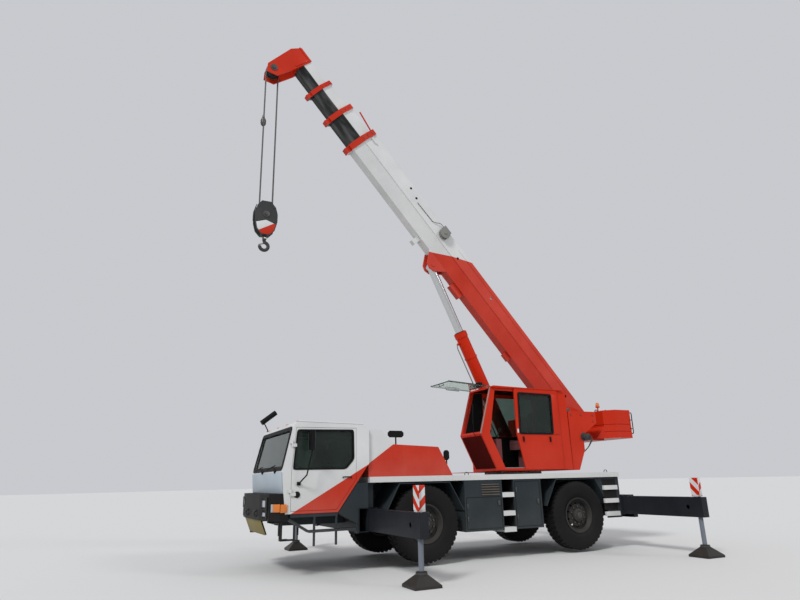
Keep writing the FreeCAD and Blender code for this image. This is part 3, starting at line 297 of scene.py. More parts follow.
def diagonal_mask(tree):
    """1 on the red half of each stripe of a marker board."""
    made = tree.nodes.new("ShaderNodeGroup")
    made.node_tree = stripes
    made.inputs["Pitch"].default_value = 0.24
    made.inputs["Lean"].default_value = 1.0
    return made.outputs["Mask"]


def lens(name, colour):
    """Moulded lamp lens with fine ribs."""
    made, tree, shader = new_material(name)
    ribs = sum_up(tree, "SINE", sum_up(tree, "MULTIPLY", coordinate(tree, 2), 420.0))
    darker = tuple(c * 0.6 for c in colour) + (1.0,)
    fill_in(tree, shader, {
        "Base Color": blend_colours(tree, spread(tree, ribs, -1.0, 1.0, 0.0, 0.35), (*colour, 1.0), darker),
        "Roughness": 0.12, "Coat Weight": 0.6})
    bumpy(tree, shader, ribs, 0.3, 0.002)
    return made


def boom_measure(tree, direction):
    """Distance from the boom's pivot in a direction of the boom's own plane."""
    y, z = coordinate(tree, 1), coordinate(tree, 2)
    start = -pivot.dot(direction)
    return sum_up(tree, "MULTIPLY_ADD", y, direction.y, sum_up(tree, "MULTIPLY_ADD", z, direction.z, start))


def boom_enamel(name, collar, greasy, red_foot=False):
    """White enamel, red past the collar, with dark grease on the lower sides of a section that slides."""
    made, tree, shader = new_material(name)
    ragged = noise(tree, place(tree, (3.0, 1.0, 1.0)), 1.5, 5.0)
    colour, rough = (*white, 1.0), 0.36
    if greasy:
        depth = sum_up(tree, "MULTIPLY_ADD", ragged, 0.03, boom_measure(tree, boom_under))
        wiped = spread(tree, noise(tree, place(tree, (9.0, 0.7, 0.7)), 2.0, 6.0), 0.45, 0.75, 1.0, 0.85)
        grease = sum_up(tree, "MULTIPLY", spread(tree, depth, greasy, greasy + 0.012), wiped)
        colour = blend_colours(tree, grease, colour, (0.007, 0.008, 0.009, 1.0))
        rough = spread(tree, grease, 0.0, 1.0, 0.38, 0.28)
    if red_foot:
        leaned = sum_up(tree, "MULTIPLY_ADD", coordinate(tree, 1), red_edge_lean, coordinate(tree, 2))
        colour = blend_colours(tree, sum_up(tree, "LESS_THAN", leaned, red_edge), colour, (*red, 1.0))
    past = sum_up(tree, "GREATER_THAN", boom_measure(tree, boom_line), collar)
    colour = blend_colours(tree, past, colour, (*red, 1.0))
    coated = weathered(tree, colour, 0.15, 2.0, 14.0, 0.08, (0.4, 0.38, 0.34, 1.0))
    fill_in(tree, shader, {"Base Color": coated.outputs["Colour"], "Roughness": rough,
                           "Specular IOR Level": 0.15, "Coat Weight": 0.04})
    bumpy(tree, shader, ragged, 0.12, 0.002)
    return made


def chequer_plate(name, colour):
    """Painted tread plate, with raised bars that cross on its flat top."""
    made, tree, shader = new_material(name)
    coated = weathered(tree, (*colour, 1.0), 0.5, 1.2, 2.0, 0.08)
    x, y = coordinate(tree, 0), coordinate(tree, 1)
    waves = [sum_up(tree, "SINE", sum_up(tree, "MULTIPLY", sum_up(tree, kind, x, y), 105.0))
             for kind in ("ADD", "SUBTRACT")]
    bars = spread(tree, sum_up(tree, "MULTIPLY", *waves), 0.25, 0.7)
    fill_in(tree, shader, {"Base Color": coated.outputs["Colour"],
                           "Roughness": spread(tree, coated.outputs["Dirt"], 0.0, 1.0, 0.42, 0.9)})
    bumpy(tree, shader, bars, 0.5, 0.002)
    return made


def woven_cloth(name, colour):
    """Seat cloth with crossing threads."""
    made, tree, shader = new_material(name)
    coated = weathered(tree, (*colour, 1.0), 0.2, 0.5, 2.5, 0.2)
    threads = [sum_up(tree, "SINE", sum_up(tree, "MULTIPLY", coordinate(tree, axis), 1400.0))
               for axis in (0, 2)]
    fill_in(tree, shader, {"Base Color": coated.outputs["Colour"], "Roughness": 0.85, "Sheen Weight": 0.25})
    bumpy(tree, shader, sum_up(tree, "MULTIPLY", *threads), 0.3, 0.0006)
    return made


def black_plastic():
    """Grained black plastic and rubber trim."""
    made, tree, shader = new_material("grained black plastic")
    coated = weathered(tree, (*black, 1.0), 0.07, 0.5, 1.9, 0.2)
    fill_in(tree, shader, {"Base Color": coated.outputs["Colour"], "Roughness": 0.55,
                           "Specular IOR Level": matt_specular})
    bumpy(tree, shader, noise(tree, place(tree), 260.0, 2.0), 0.25, 0.0006)
    return made


def tyre_rubber():
    """Black rubber with dust on its lower parts."""
    made, tree, shader = new_material("tyre rubber")
    coated = weathered(tree, (0.006, 0.006, 0.0065, 1.0), 0.16, -0.3, 1.7, 0.2, (0.09, 0.083, 0.072, 1.0))
    fill_in(tree, shader, {"Base Color": coated.outputs["Colour"], "Specular IOR Level": matt_specular,
                           "Roughness": spread(tree, coated.outputs["Dirt"], 0.0, 1.0, 0.6, 0.95)})
    bumpy(tree, shader, coated.outputs["Grain"], 0.3, 0.002)
    return made


def metal(name, colour, rough, grain, scale):
    """Bare metal with marks drawn out by scale."""
    made, tree, shader = new_material(name)
    marks = noise(tree, place(tree, scale), 8.0, 5.0)
    darker = tuple(c * 0.55 for c in colour) + (1.0,)
    fill_in(tree, shader, {
        "Base Color": blend_colours(tree, spread(tree, marks, 0.35, 0.7), (*colour, 1.0), darker),
        "Roughness": spread(tree, marks, 0.3, 0.7, rough * 0.7, rough * 1.3), "Metallic": 1.0})
    bumpy(tree, shader, marks, grain, 0.001)
    return made


def tinted_glass(name, colour, rough=0.03):
    """Pane with a thin film of dust."""
    made, tree, shader = new_material(name)
    film = noise(tree, place(tree), 2.2, 5.0)
    dusty = blend_colours(tree, spread(tree, film, 0.45, 0.75, 0.0, 0.08), (*colour, 1.0),
                          (0.5, 0.5, 0.46, 1.0))
    fill_in(tree, shader, {"Base Color": dusty, "Roughness": rough, "IOR": 1.32,
                           "Transmission Weight": 0.9})
    return made


white = (0.60, 0.605, 0.60)
red = (0.50, 0.018, 0.001)
slate = (0.018, 0.026, 0.031)
navy = (0.008, 0.011, 0.016)
black = (0.005, 0.005, 0.0055)
# dark grey painted within the carrier cab: painted shade of its inside
cab_inside_shade = (0.035, 0.036, 0.038)
red_edge_lean = 0.16
red_edge = 6.5 + 0.97 * red_edge_lean

stripe_edge = [(from_axle(-2.59), 1.01), (from_axle(-1.13), 1.83), (from_axle(-0.63), 2.175)]
red_below_stripe = below_line(stripe_edge)


def cab_zones(tree):
    """Red below the stripe's edge outside, and dark grey within the cab's walls as painted shade of the
    cab's inside.
    """
    walls = ((sum_up(tree, "ABSOLUTE", coordinate(tree, 0)), body_half - 0.03),
             (coordinate(tree, 1), from_axle(-1.20)),
             (sum_up(tree, "MULTIPLY", coordinate(tree, 1), -1.0), -from_axle(-2.52)),
             (coordinate(tree, 2), 2.50))
    inside = 1.0
    for value, limit in walls:
        inside = sum_up(tree, "MULTIPLY", sum_up(tree, "LESS_THAN", value, limit), inside)
    other = blend_colours(tree, inside, (*red, 1.0), (*cab_inside_shade, 1.0))
    return sum_up(tree, "MAXIMUM", red_below_stripe(tree), inside), other


# columns of painted: name, colour, roughness, amount of dust, height below which it is dusty and
# height above which it is clean, fading, coat, and the zones of a second colour
cab_white = painted("cab white with red stripe", white, 0.3, 0.35, 0.7, 2.0, 0.05, 0.35, cab_zones)
hood_edge = below_line(stripe_edge + [(from_axle(-0.625), 4.0)])
hood_paint = painted("hood white ahead and red behind", white, 0.33, 0.3, 1.5, 2.4, 0.06, 0.3,
                     lambda tree: (hood_edge(tree), red))
deck_white = chequer_plate("deck white tread plate", white)
step_white = painted("step white", white, 0.5, 0.35, 0.4, 1.8, 0.1, 0.0)
step_paint = painted("white steps and slate running boards", white, 0.5, 0.25, 0.4, 1.8, 0.1, 0.0,
                     lambda tree: (sum_up(tree, "LESS_THAN", coordinate(tree, 1), from_axle(-1.3)), slate))
jack_paint = painted("grey rod and black pad", (0.13, 0.15, 0.18), 0.4, 0.15, 0.1, 1.2, 0.1, 0.1,
                     lambda tree: (sum_up(tree, "LESS_THAN", coordinate(tree, 2), 0.222), black))
orange_red = painted("orange-red", red, 0.36, 0.10, 1.6, 3.4, 0.05, 0.15)
# for each part of the boom, where its red collar starts and from what depth grease covers it
boom_paint = {
    "base": boom_enamel("boom base red and white", 8.10, 0.0, True),
    "section_1": boom_enamel("boom section 1", 8.92, -0.125),
    "section_2": boom_enamel("boom section 2", 9.67, -0.112),
    "section_3": boom_enamel("boom section 3 with red head", 10.375, -0.101),
}
chassis_slate = painted("chassis slate", slate, 0.45, 0.14, 0.2, 1.7, 0.12, 0.1)
outrigger_navy = painted("outrigger navy", navy, 0.42, 0.08, 0.2, 1.6, 0.12, 0.1)
block_grey = painted("hook block grey", (0.035, 0.036, 0.038), 0.45, 0.1, 6.0, 8.0, 0.2, 0.05)
housing_grey = painted("housing grey", (0.20, 0.20, 0.185), 0.5, 0.2, 2.0, 7.0, 0.2, 0.05)
# the crane cab's red darkened as painted shade, for its front lower panel
shaded_red = painted("red panel darkened as painted shade", (0.060, 0.006, 0.005), 0.8, 0.02, 1.6, 3.0, 0.05, 0.0)
# no reflection, which would lay a haze on so dark a panel
shaded_red.node_tree.nodes["Principled BSDF"].inputs["Specular IOR Level"].default_value = 0.0
louvre_brown = painted("louvre brown", (0.09, 0.07, 0.055), 0.6, 0.6, 0.6, 1.7, 0.2, 0.0)
rim_grey = painted("rim grey", (0.016, 0.016, 0.017), 0.5, 0.22, 0.0, 1.7, 0.2, 0.0)
seat_cloth = woven_cloth("maroon seat cloth", (0.10, 0.008, 0.012))
plastic = black_plastic()
rubber = tyre_rubber()
# columns of metal: name, colour, roughness, height of its marks, and their spread along each axis
chrome = metal("ground chrome rod", (0.75, 0.75, 0.76), 0.16, 0.02, (30.0, 30.0, 1.0))
worn_steel = metal("worn steel", (0.33, 0.32, 0.31), 0.42, 0.1, (6.0, 6.0, 1.0))
wire_steel = metal("greased wire rope", (0.12, 0.115, 0.11), 0.5, 0.3, (60.0, 60.0, 60.0))
pane = tinted_glass("dark greenish glass", (0.10, 0.15, 0.125))
pale_pane = tinted_glass("pale greenish glass", (0.50, 0.62, 0.56))
worn_rim = metal("worn dark steel", (0.13, 0.125, 0.12), 0.5, 0.1, (20.0, 20.0, 20.0))
mirror = metal("mirror glass", (0.75, 0.78, 0.8), 0.05, 0.0, (1.0, 1.0, 1.0))
# white darkened to blue-grey as painted shade, for the front panel under the windscreen
front_panel_shade = painted("white front panel in painted blue-grey shade", (0.36, 0.42, 0.47), 0.4, 0.15, 0.9, 1.9, 0.05, 0.2)
olive = painted("bare olive plate", (0.20, 0.16, 0.035), 0.55, 0.5, 0.6, 1.2, 0.1, 0.0)
striped = painted("white with red diagonals", white, 0.4, 0.3, 0.5, 1.8, 0.05, 0.1,
                  lambda tree: (diagonal_mask(tree), red))
block_marks = painted("hook block marks", white, 0.5, 0.2, 5.0, 9.0, 0.1, 0.0,
                      lambda tree: (sum_up(tree, "GREATER_THAN", sum_up(tree, "MULTIPLY_ADD",
        coordinate(tree, 1), 0.6, 6.70 - 0.6 * nose.y), coordinate(tree, 2)), red))
amber = lens("amber lens", (0.62, 0.16, 0.01))
clear_lens = lens("clear lens", (0.33, 0.36, 0.39))
tail_red = lens("red lens", (0.45, 0.01, 0.008))


def board_zone(low):
    """Stripes on what stands above a beam's top."""
    def zone(tree):
        stripe = blend_colours(tree, diagonal_mask(tree), (*white, 1.0), (*red, 1.0))
        return sum_up(tree, "GREATER_THAN", coordinate(tree, 2), low), stripe
    return zone


board_rise = 0.375  # from a beam's underside to the foot of its marker board
board_foot = {end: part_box(f"outrigger_beam_{end}_left")[0].z + board_rise for end in ("front", "rear")}
beam_paint = {end: painted(f"navy {end} beam with striped board", navy, 0.42, 0.08, 0.2, 1.6, 0.12, 0.1,
                           board_zone(foot)) for end, foot in board_foot.items()}

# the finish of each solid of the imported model, by the start of its name; the longest match counts
finishes = (
    (rubber, ("tyre",)),
    (rim_grey, ("rim",)),
    (chassis_slate, ("knuckle", "axles", "chassis_frame", "side_boxes", "mudguards")),
    (outrigger_navy, ("outrigger",)),
    (beam_paint["front"], ("outrigger_beam_front",)),
    (beam_paint["rear"], ("outrigger_beam_rear",)),
    (jack_paint, ("jack",)),
    (cab_white, ("carrier_cab", "cab_door")),
    (deck_white, ("deck",)),
    (step_paint, ("step_plates",)),
    (hood_paint, ("engine_hood",)),
    (pane, ("cab_glass", "door_glass", "operator_glass", "sliding_door_glass")),
    (pale_pane, ("roof_screen",)),
    (plastic, ("door_mirror", "roof_mirror", "bumper", "cab_interior")),
    (seat_cloth, ("operator_seat",)),
    (orange_red, ("turntable", "counterweight", "operator_cab", "sliding_door", "luff_barrel", "beacon")),
    (block_grey, ("engine_block", "head_sheaves", "hook_block", "crane_hook", "winch_drum")),
    (chrome, ("luff_rod",)),
    (wire_steel, ("hoist_ropes",)),
) + tuple((paint, (f"boom_{part}",)) for part, paint in boom_paint.items())
finish_of = {key: finish for finish, keys in finishes for key in keys}
for name, piece in node.items():
    keys = [key for key in finish_of if name.startswith(key)]
    piece.data.materials.clear()
    piece.data.materials.append(finish_of[max(keys, key=len)])


# Makers

weld_distance = 0.00005


def clear_selection():
    bpy.ops.object.select_all(action="DESELECT")


def pick(piece):
    clear_selection()
    piece.select_set(True)
    bpy.context.view_layer.objects.active = piece


def edit():
    bpy.ops.object.mode_set(mode="EDIT")


def leave_edit():
    bpy.ops.object.mode_set(mode="OBJECT")


def select_mesh():
    bpy.ops.mesh.select_all(action="SELECT")


def face_outward():
    select_mesh()
    bpy.ops.mesh.normals_make_consistent(inside=False)


def settle(piece):
    """Puts the piece's place into its mesh, so that its object stands at the origin."""
    pick(piece)
    bpy.ops.object.transform_apply(location=True, rotation=True, scale=True)


def apply_modifier(piece, kind, **settings):
    pick(piece)
    made = piece.modifiers.new(kind.lower(), kind)
    for key, value in settings.items():
        setattr(made, key, value)
    bpy.ops.object.modifier_apply(modifier=made.name)


def soften(piece, width, segments=2, angle=35.0):
    """Bevels the edges sharper than the angle, and shades the rest smooth."""
    if width:
        apply_modifier(piece, "BEVEL", width=width, segments=segments, limit_method="ANGLE",
                       angle_limit=math.radians(angle))
    pick(piece)
    bpy.ops.object.shade_smooth_by_angle(angle=math.radians(angle))


def chain(points, closed=False):
    """Draws edges through the points from a single vertex, and leaves the mesh in edit mode."""
    clear_selection()
    bpy.ops.mesh.primitive_plane_add(size=0.02, location=points[0])
    edit()
    bpy.ops.mesh.merge(type="CENTER")
    here = Vector(points[0])
    for point in points[1:]:
        bpy.ops.mesh.extrude_vertices_move(TRANSFORM_OT_translate={"value": Vector(point) - here})
        here = Vector(point)
    if closed:
        select_mesh()
        bpy.ops.mesh.edge_face_add()
    return bpy.context.object


def slab(points, depth, bevel=0.0, segments=2):
    """A plate with the outline given, pushed out by depth."""
    piece = chain(points, closed=True)
    bpy.ops.mesh.extrude_region_move(TRANSFORM_OT_translate={"value": depth})
    face_outward()
    leave_edit()
    settle(piece)
    soften(piece, bevel, segments)
    return piece


def turned(profile, centre, axis, steps=48):
    """Spins a profile of (along, radius) points about an axis through centre."""
    centre, axis = Vector(centre), Vector(axis)
    outward = axis.orthogonal().normalized()
    piece = chain([centre + axis * a + outward * r for a, r in profile])
    select_mesh()
    bpy.ops.mesh.spin(steps=steps, angle=math.tau, center=centre, axis=axis)
    select_mesh()
    bpy.ops.mesh.remove_doubles(threshold=weld_distance)
    face_outward()
    leave_edit()
    settle(piece)
    soften(piece, 0.0)
    return piece


def ring_of(piece, count, centre, axis):
    """Repeats the piece's own mesh round an axis."""
    pick(piece)
    edit()
    select_mesh()
    bpy.ops.mesh.spin(steps=count, dupli=True, angle=math.tau, center=centre, axis=axis)
    select_mesh()
    bpy.ops.mesh.remove_doubles(threshold=weld_distance)
    leave_edit()
    return piece


def block(low, high, bevel=0.004, segments=2):
    """A box between two corners, with softened edges."""
    low, high = Vector(low), Vector(high)
    clear_selection()
    bpy.ops.mesh.primitive_cube_add(size=1.0, location=(low + high) / 2)
    piece = bpy.context.object
    piece.scale = high - low
    settle(piece)
    soften(piece, bevel, segments)
    return piece


def pipe(points, radius, bend=0.05, sides=3):
    """A bar or hose along a bent line, with its corners rounded and its ends closed."""
    piece = chain(points)
    if len(points) > 2 and bend:
        select_mesh()
        bpy.ops.mesh.bevel(offset=bend, segments=4, affect="VERTICES")
    leave_edit()
    settle(piece)
    bpy.ops.object.convert(target="CURVE")
    piece = bpy.context.object
    piece.data.bevel_depth = radius
    piece.data.bevel_resolution = sides
    piece.data.use_fill_caps = True
    bpy.ops.object.convert(target="MESH")
    piece = bpy.context.object
    soften(piece, 0.0, angle=60.0)
    return piece


def copy_of(piece, move=(0.0, 0.0, 0.0), mirror_x=False):
    """A copy with its own mesh, moved or mirrored to the other side."""
    pick(piece)
    bpy.ops.object.duplicate()
    made = bpy.context.object
    made.location = Vector(move)
    if mirror_x:
        made.scale.x = -1.0
    settle(made)
    if mirror_x:
        edit()
        face_outward()
        leave_edit()
    return made


def merged(name, pieces, material, body, stands_for=()):
    """Joins the pieces into one with the name, finish and body given."""
    clear_selection()
    for piece in pieces:
        piece.select_set(True)
    bpy.context.view_layer.objects.active = pieces[0]
    if len(pieces) > 1:
        bpy.ops.object.join()
    piece = bpy.context.object
    piece.name = name.replace(" ", "_")
    piece.data.name = piece.name
    if material:
        piece.data.materials.clear()
        piece.data.materials.append(material)
    if body:
        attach(piece, body)
    for cad in stands_for:
        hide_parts(cad)
    return piece


def drawn(x, y, z):
    """A point with y measured from the front axle."""
    return Vector((x, from_axle(y), z))


def side_view(x, points):
    """Points of (y, z) in the plane at x."""
    return [drawn(x, y, z) for y, z in points]


def framed(points, width, depth, bevel=0.003, corner=0.0):
    """A flat rim round an opening: the outline, inset by width, and pushed out by depth."""
    piece = chain(points, closed=True)
    if corner:
        bpy.ops.mesh.bevel(offset=corner, segments=4, affect="VERTICES")
        select_mesh()
    bpy.ops.mesh.inset(thickness=width, use_boundary=True)
    bpy.ops.mesh.delete(type="ONLY_FACE")
    select_mesh()
    bpy.ops.mesh.extrude_region_move(TRANSFORM_OT_translate={"value": depth})
    face_outward()
    leave_edit()
    settle(piece)
    soften(piece, bevel, 2)
    return piece


def bolt(place_at, axis, size, tall):
    """Hexagon head, its edges bevelled."""
    turn = along_z(1.0).rotation_difference(Vector(axis)).to_euler()
    clear_selection()
    bpy.ops.mesh.primitive_cylinder_add(vertices=6, radius=size, depth=tall, rotation=turn,
                                        location=Vector(place_at) + Vector(axis) * (tall / 2))
    piece = bpy.context.object
    settle(piece)
    edit()
    select_mesh()
    bpy.ops.mesh.bevel(offset=min(size, tall) * 0.18, segments=1)
    leave_edit()
    return piece


# Wheels

lug_count = 44


def tyre_piece():
    """Carcass with slanted lugs across its tread, at the front left wheel."""
    bead, shoulder, crown = 0.3215, tyre_radius - 0.020, tyre_radius - 0.011
    half = [(0.139, bead), (0.147, 0.355), (0.170, 0.40), (0.176, 0.41), (0.181, 0.45), (0.184, 0.5),
            (0.181, 0.58), (0.174, 0.63), (0.160, shoulder), (0.13, crown - 0.004), (0.08, crown)]
    profile = half + [(-a, r) for a, r in reversed(half)] + half[:1]
    hub = Vector((wheel_x, front_axle.y, axle_z))
    carcass = turned(profile, hub, x_axis, 72)
    low = axle_z + tyre_radius - 0.030
    lug = slab([Vector((wheel_x + x, front_axle.y + y, low)) for x, y in ((0.010, -0.040), (0.10, -0.030),
            (0.158, -0.006), (0.158, 0.056), (0.10, 0.032), (0.010, 0.022))], along_z(0.029), 0.005, 2)
    other = copy_of(lug)
    other.scale.x = -1.0
    other.location.x = 2 * wheel_x
    settle(other)
    edit()
    face_outward()
    bpy.ops.transform.rotate(value=math.pi / lug_count, orient_axis="X", center_override=hub)
    leave_edit()
    lugs = [ring_of(piece, lug_count, hub, x_axis) for piece in (lug, other)]
    return [carcass] + lugs


def hub_piece():
    """Wheel nuts, the ring of small bolts on the hub's cover and the lock ring of the rim."""
    hub = Vector((wheel_x, front_axle.y, axle_z))
    pieces = []
    for count, radius, x, size, tall in ((10, 0.176, 0.103, 0.019, 0.036),
                                         (12, 0.112, 0.148, 0.009, 0.028)):
        clear_selection()
        bpy.ops.mesh.primitive_cylinder_add(vertices=6, radius=size, depth=tall,
                                            location=hub + Vector((x + tall / 2, 0.0, radius)),
                                            rotation=(0.0, math.pi / 2, 0.0))
        nut = bpy.context.object
        settle(nut)
        edit()
        select_mesh()
        bpy.ops.mesh.bevel(offset=0.003, segments=1)
        leave_edit()
        pieces.append(ring_of(nut, count, hub, x_axis))
    lock = turned([(0.150, 0.322), (0.158, 0.330), (0.158, 0.345), (0.150, 0.350), (0.146, 0.336),
                   (0.150, 0.322)], hub, x_axis, 60)
    cover = turned([(0.184, 0.0), (0.196, 0.001), (0.196, 0.05), (0.190, 0.058), (0.184, 0.058)], hub,
                   x_axis, 32)
    return pieces + [lock, cover]


def dress_wheels():
    """One tyre and one set of nuts, copied to the other three wheels."""
    tyre = merged("tyre front left", tyre_piece(), rubber, "wheel_front_left", ["tyre_front_left"])
    hub = merged("wheel nuts front left", hub_piece(), worn_rim, "wheel_front_left")
    for end in ("front", "rear"):
        for side, turn_over in (("left", False), ("right", True)):
            if (end, side) == ("front", "left"):
                continue
            shift = (0.0, axle_y[end] - axle_y["front"], 0.0)
            body = f"wheel_{end}_{side}"
            merged(f"tyre {end} {side}", [copy_of(tyre, shift, turn_over)], None, body,
                   [f"tyre_{end}_{side}"])
            merged(f"wheel nuts {end} {side}", [copy_of(hub, shift, turn_over)], None, body)


# Outriggers

def dress_outriggers():
    """Striped sleeves round the jacks' tubes, and the rings of the pads' cups."""
    for end in ("front", "rear"):
        for side in ("left", "right"):
            low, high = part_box(f"outrigger_beam_{end}_{side}")
            leg = middle(f"jack_{end}_{side}")
            beam_top = low.z + 0.37
            corners = [Vector((leg.x + a * 0.066, leg.y + b * 0.066, beam_top + 0.012))
                       for a, b in ((-1, -1), (1, -1), (1, 1), (-1, 1))]
            sleeve = framed(corners, 0.0035, along_z(high.z - beam_top - 0.012), 0.001)
            merged(f"striped sleeve {end} {side}", [sleeve], striped, f"beam_{end}_{side}")
            cup = turned([(0.0, 0.045), (0.0, 0.087), (0.014, 0.090), (0.03, 0.087), (0.034, 0.045),
                          (0.0, 0.045)], (leg.x, leg.y, 0.172), z_axis, 32)
            merged(f"pad cup ring {end} {side}", [cup], block_grey, f"leg_{end}_{side}")


# Carrier cab

def dress_carrier_cab():
    """Rubbers, wipers, front panel in painted shade, door trim, mirrors, gutters and marker lamps."""
    slope = [(-2.755, 1.703), (-2.563, 2.508)]
    run = Vector((0.0, slope[1][0] - slope[0][0], slope[1][1] - slope[0][1])).normalized()
    face = Vector((0.0, -run.z, run.y))
    foot = drawn(0.0, *slope[0]) + face * 0.001

    def on_screen(x, up):
        return foot + along_x(x) + run * up

    rubber_rim = framed([on_screen(-1.19, 0.02), on_screen(-1.15, 0.80), on_screen(1.15, 0.80),
                         on_screen(1.19, 0.02)], 0.075, face * 0.014, 0.004, 0.09)
    pieces = [rubber_rim]
    for x in (-0.25, 0.75):
        arm = pipe([on_screen(x, 0.0) + face * 0.03, on_screen(x - 0.05, 0.05) + face * 0.034,
                    on_screen(x - 0.40, 0.085) + face * 0.026], 0.007, 0.03)
        blade = pipe([on_screen(x - 0.74, 0.055) + face * 0.020, on_screen(x - 0.08, 0.115)
                      + face * 0.020], 0.009, 0.0)
        knob = turned([(0.0, 0.0), (0.0, 0.028), (0.03, 0.022), (0.034, 0.0)], on_screen(x, 0.0), face, 20)
        pieces += [arm, blade, knob]
    merged("windscreen rubber and wipers", pieces, plastic, "carrier")
    # the panel under the windscreen is white with its shade painted in as blue-grey
    panel = slab(side_view(-1.20, [(-2.731, 1.345), (-2.742, 1.345), (-2.767, 1.700), (-2.756, 1.700)]),
                 along_x(2.40), 0.005)
    merged("front panel", [panel], front_panel_shade, "carrier")
    for side, sign in (("left", 1.0), ("right", -1.0)):
        window = [(-2.580, 1.729), (-2.518, 2.422), (-1.449, 2.432), (-1.439, 1.903), (-1.597, 1.729)]
        rim = framed(side_view(sign * body_half, window), 0.030, along_x(sign * 0.008), 0.003, 0.05)
        cap = turned([(0.0, 0.0), (0.0, 0.055), (0.012, 0.052), (0.016, 0.034), (0.024, 0.030),
                      (0.026, 0.0)], drawn(sign * body_half, -2.49, 1.32), along_x(sign), 32)
        grip = pipe([drawn(sign * (body_half + 0.01), -1.50, 1.58),
                     drawn(sign * (body_half + 0.018), -1.50, 1.60),
                     drawn(sign * (body_half + 0.018), -1.66, 1.60),
                     drawn(sign * (body_half + 0.01), -1.66, 1.58)], 0.009, 0.015)
        merged(f"door rubber cap and handle {side}", [rim, cap, grip], plastic, f"door_{side}")
        glass = slab([Vector((sign * (body_half + x), from_axle(-2.269), z)) for x, z in ((0.112, 2.072),
                (0.112, 2.388), (0.268, 2.388), (0.268, 2.072))], along_y(0.004), 0.0015)
        merged(f"mirror glass {side}", [glass], mirror, f"door_{side}")
    gutter = [pipe(side_view(s * 1.235, [(-2.50, 2.566), (-1.27, 2.536)]), 0.012, 0.0) for s in (1.0, -1.0)]
    merged("roof gutters", gutter, cab_white, "carrier")
    lamps = [block(drawn(x - 0.045, -2.49, 2.558), drawn(x + 0.045, -2.44, 2.585), 0.008)
             for x in (-1.1, -0.35, 0.35, 1.1)]
    merged("roof marker lamps", lamps, amber, "carrier")


def dress_bumper():
    """Lamps with their surrounds, the plain plate below the bumper and the towing eyes."""
    lenses, ambers, dark = [], [], []
    lamp_proud = 0.0062
    face_x, face_y = 0.600, -2.985
    slope = (2.985 - 2.930) / (1.080 - 0.600)
    for sign in (1.0, -1.0):
        for x, half, low, high in ((0.86, 0.13, 1.11, 1.25), (0.86, 0.10, 0.96, 1.05)):
            y = face_y + (x - face_x) * slope
            out = Vector((sign * slope, -1.0, 0.0)).normalized()
            corners = [drawn(sign * (x + dx), y + dx * slope, z) for dx, z in
                       ((-half, low), (-half, high), (half, high), (half, low))]
            corners = [c + out * lamp_proud for c in corners]
            dark.append(framed(corners, 0.014, out * 0.010, 0.003, 0.02))
            lenses.append(slab(corners, out * 0.003, 0.001))
        side_lamp = [drawn(sign * x, y, 1.035)
                     for x, y in ((1.240, -2.655), (1.242, -2.775), (1.260, -2.775), (1.258, -2.655))]
        ambers.append(slab(side_lamp, along_z(0.135), 0.005))
        for lamps, ends in ((ambers, (0.0, 0.76)), (lenses, (0.77, 1.0))):
            spots = [(1.242 - 0.122 * t, -2.780 - 0.116 * t) for t in ends]
            spots += [(1.260 - 0.130 * t, -2.786 - 0.124 * t) for t in reversed(ends)]
            lamps.append(slab([drawn(sign * x, y, 1.045) for x, y in spots], along_z(0.130), 0.004))
    merged("lamp surrounds", dark, plastic, "carrier")
    merged("headlamp lenses", lenses, clear_lens, "carrier")
    merged("side lamps", ambers, amber, "carrier")
    plate = slab(side_view(-0.66, [(-2.968, 0.905), (-2.866, 0.652), (-2.872, 0.650), (-2.975, 0.905)]),
                 along_x(1.32), 0.002)
    merged("bare olive plate", [plate], olive, "carrier")
    hooks = [pipe(side_view(s * 0.36, [(-2.94, 0.96), (-3.03, 0.96), (-3.03, 1.06), (-2.94, 1.06)]),
                  0.018, 0.045) for s in (1.0, -1.0)]
    merged("towing eyes", hooks, block_grey, "carrier")


# Boom, cylinder and hook

def wrap(x, s0, s1, n0, n1, bevel=0.006):
    """A block on the boom between x[0] and x[1], s0 and s1 along it, n0 and n1 below its line."""
    outline = [on_boom(x[0], s, n) for s, n in ((s0, n0), (s1, n0), (s1, n1), (s0, n1))]
    return slab(outline, along_x(x[1] - x[0]), bevel)


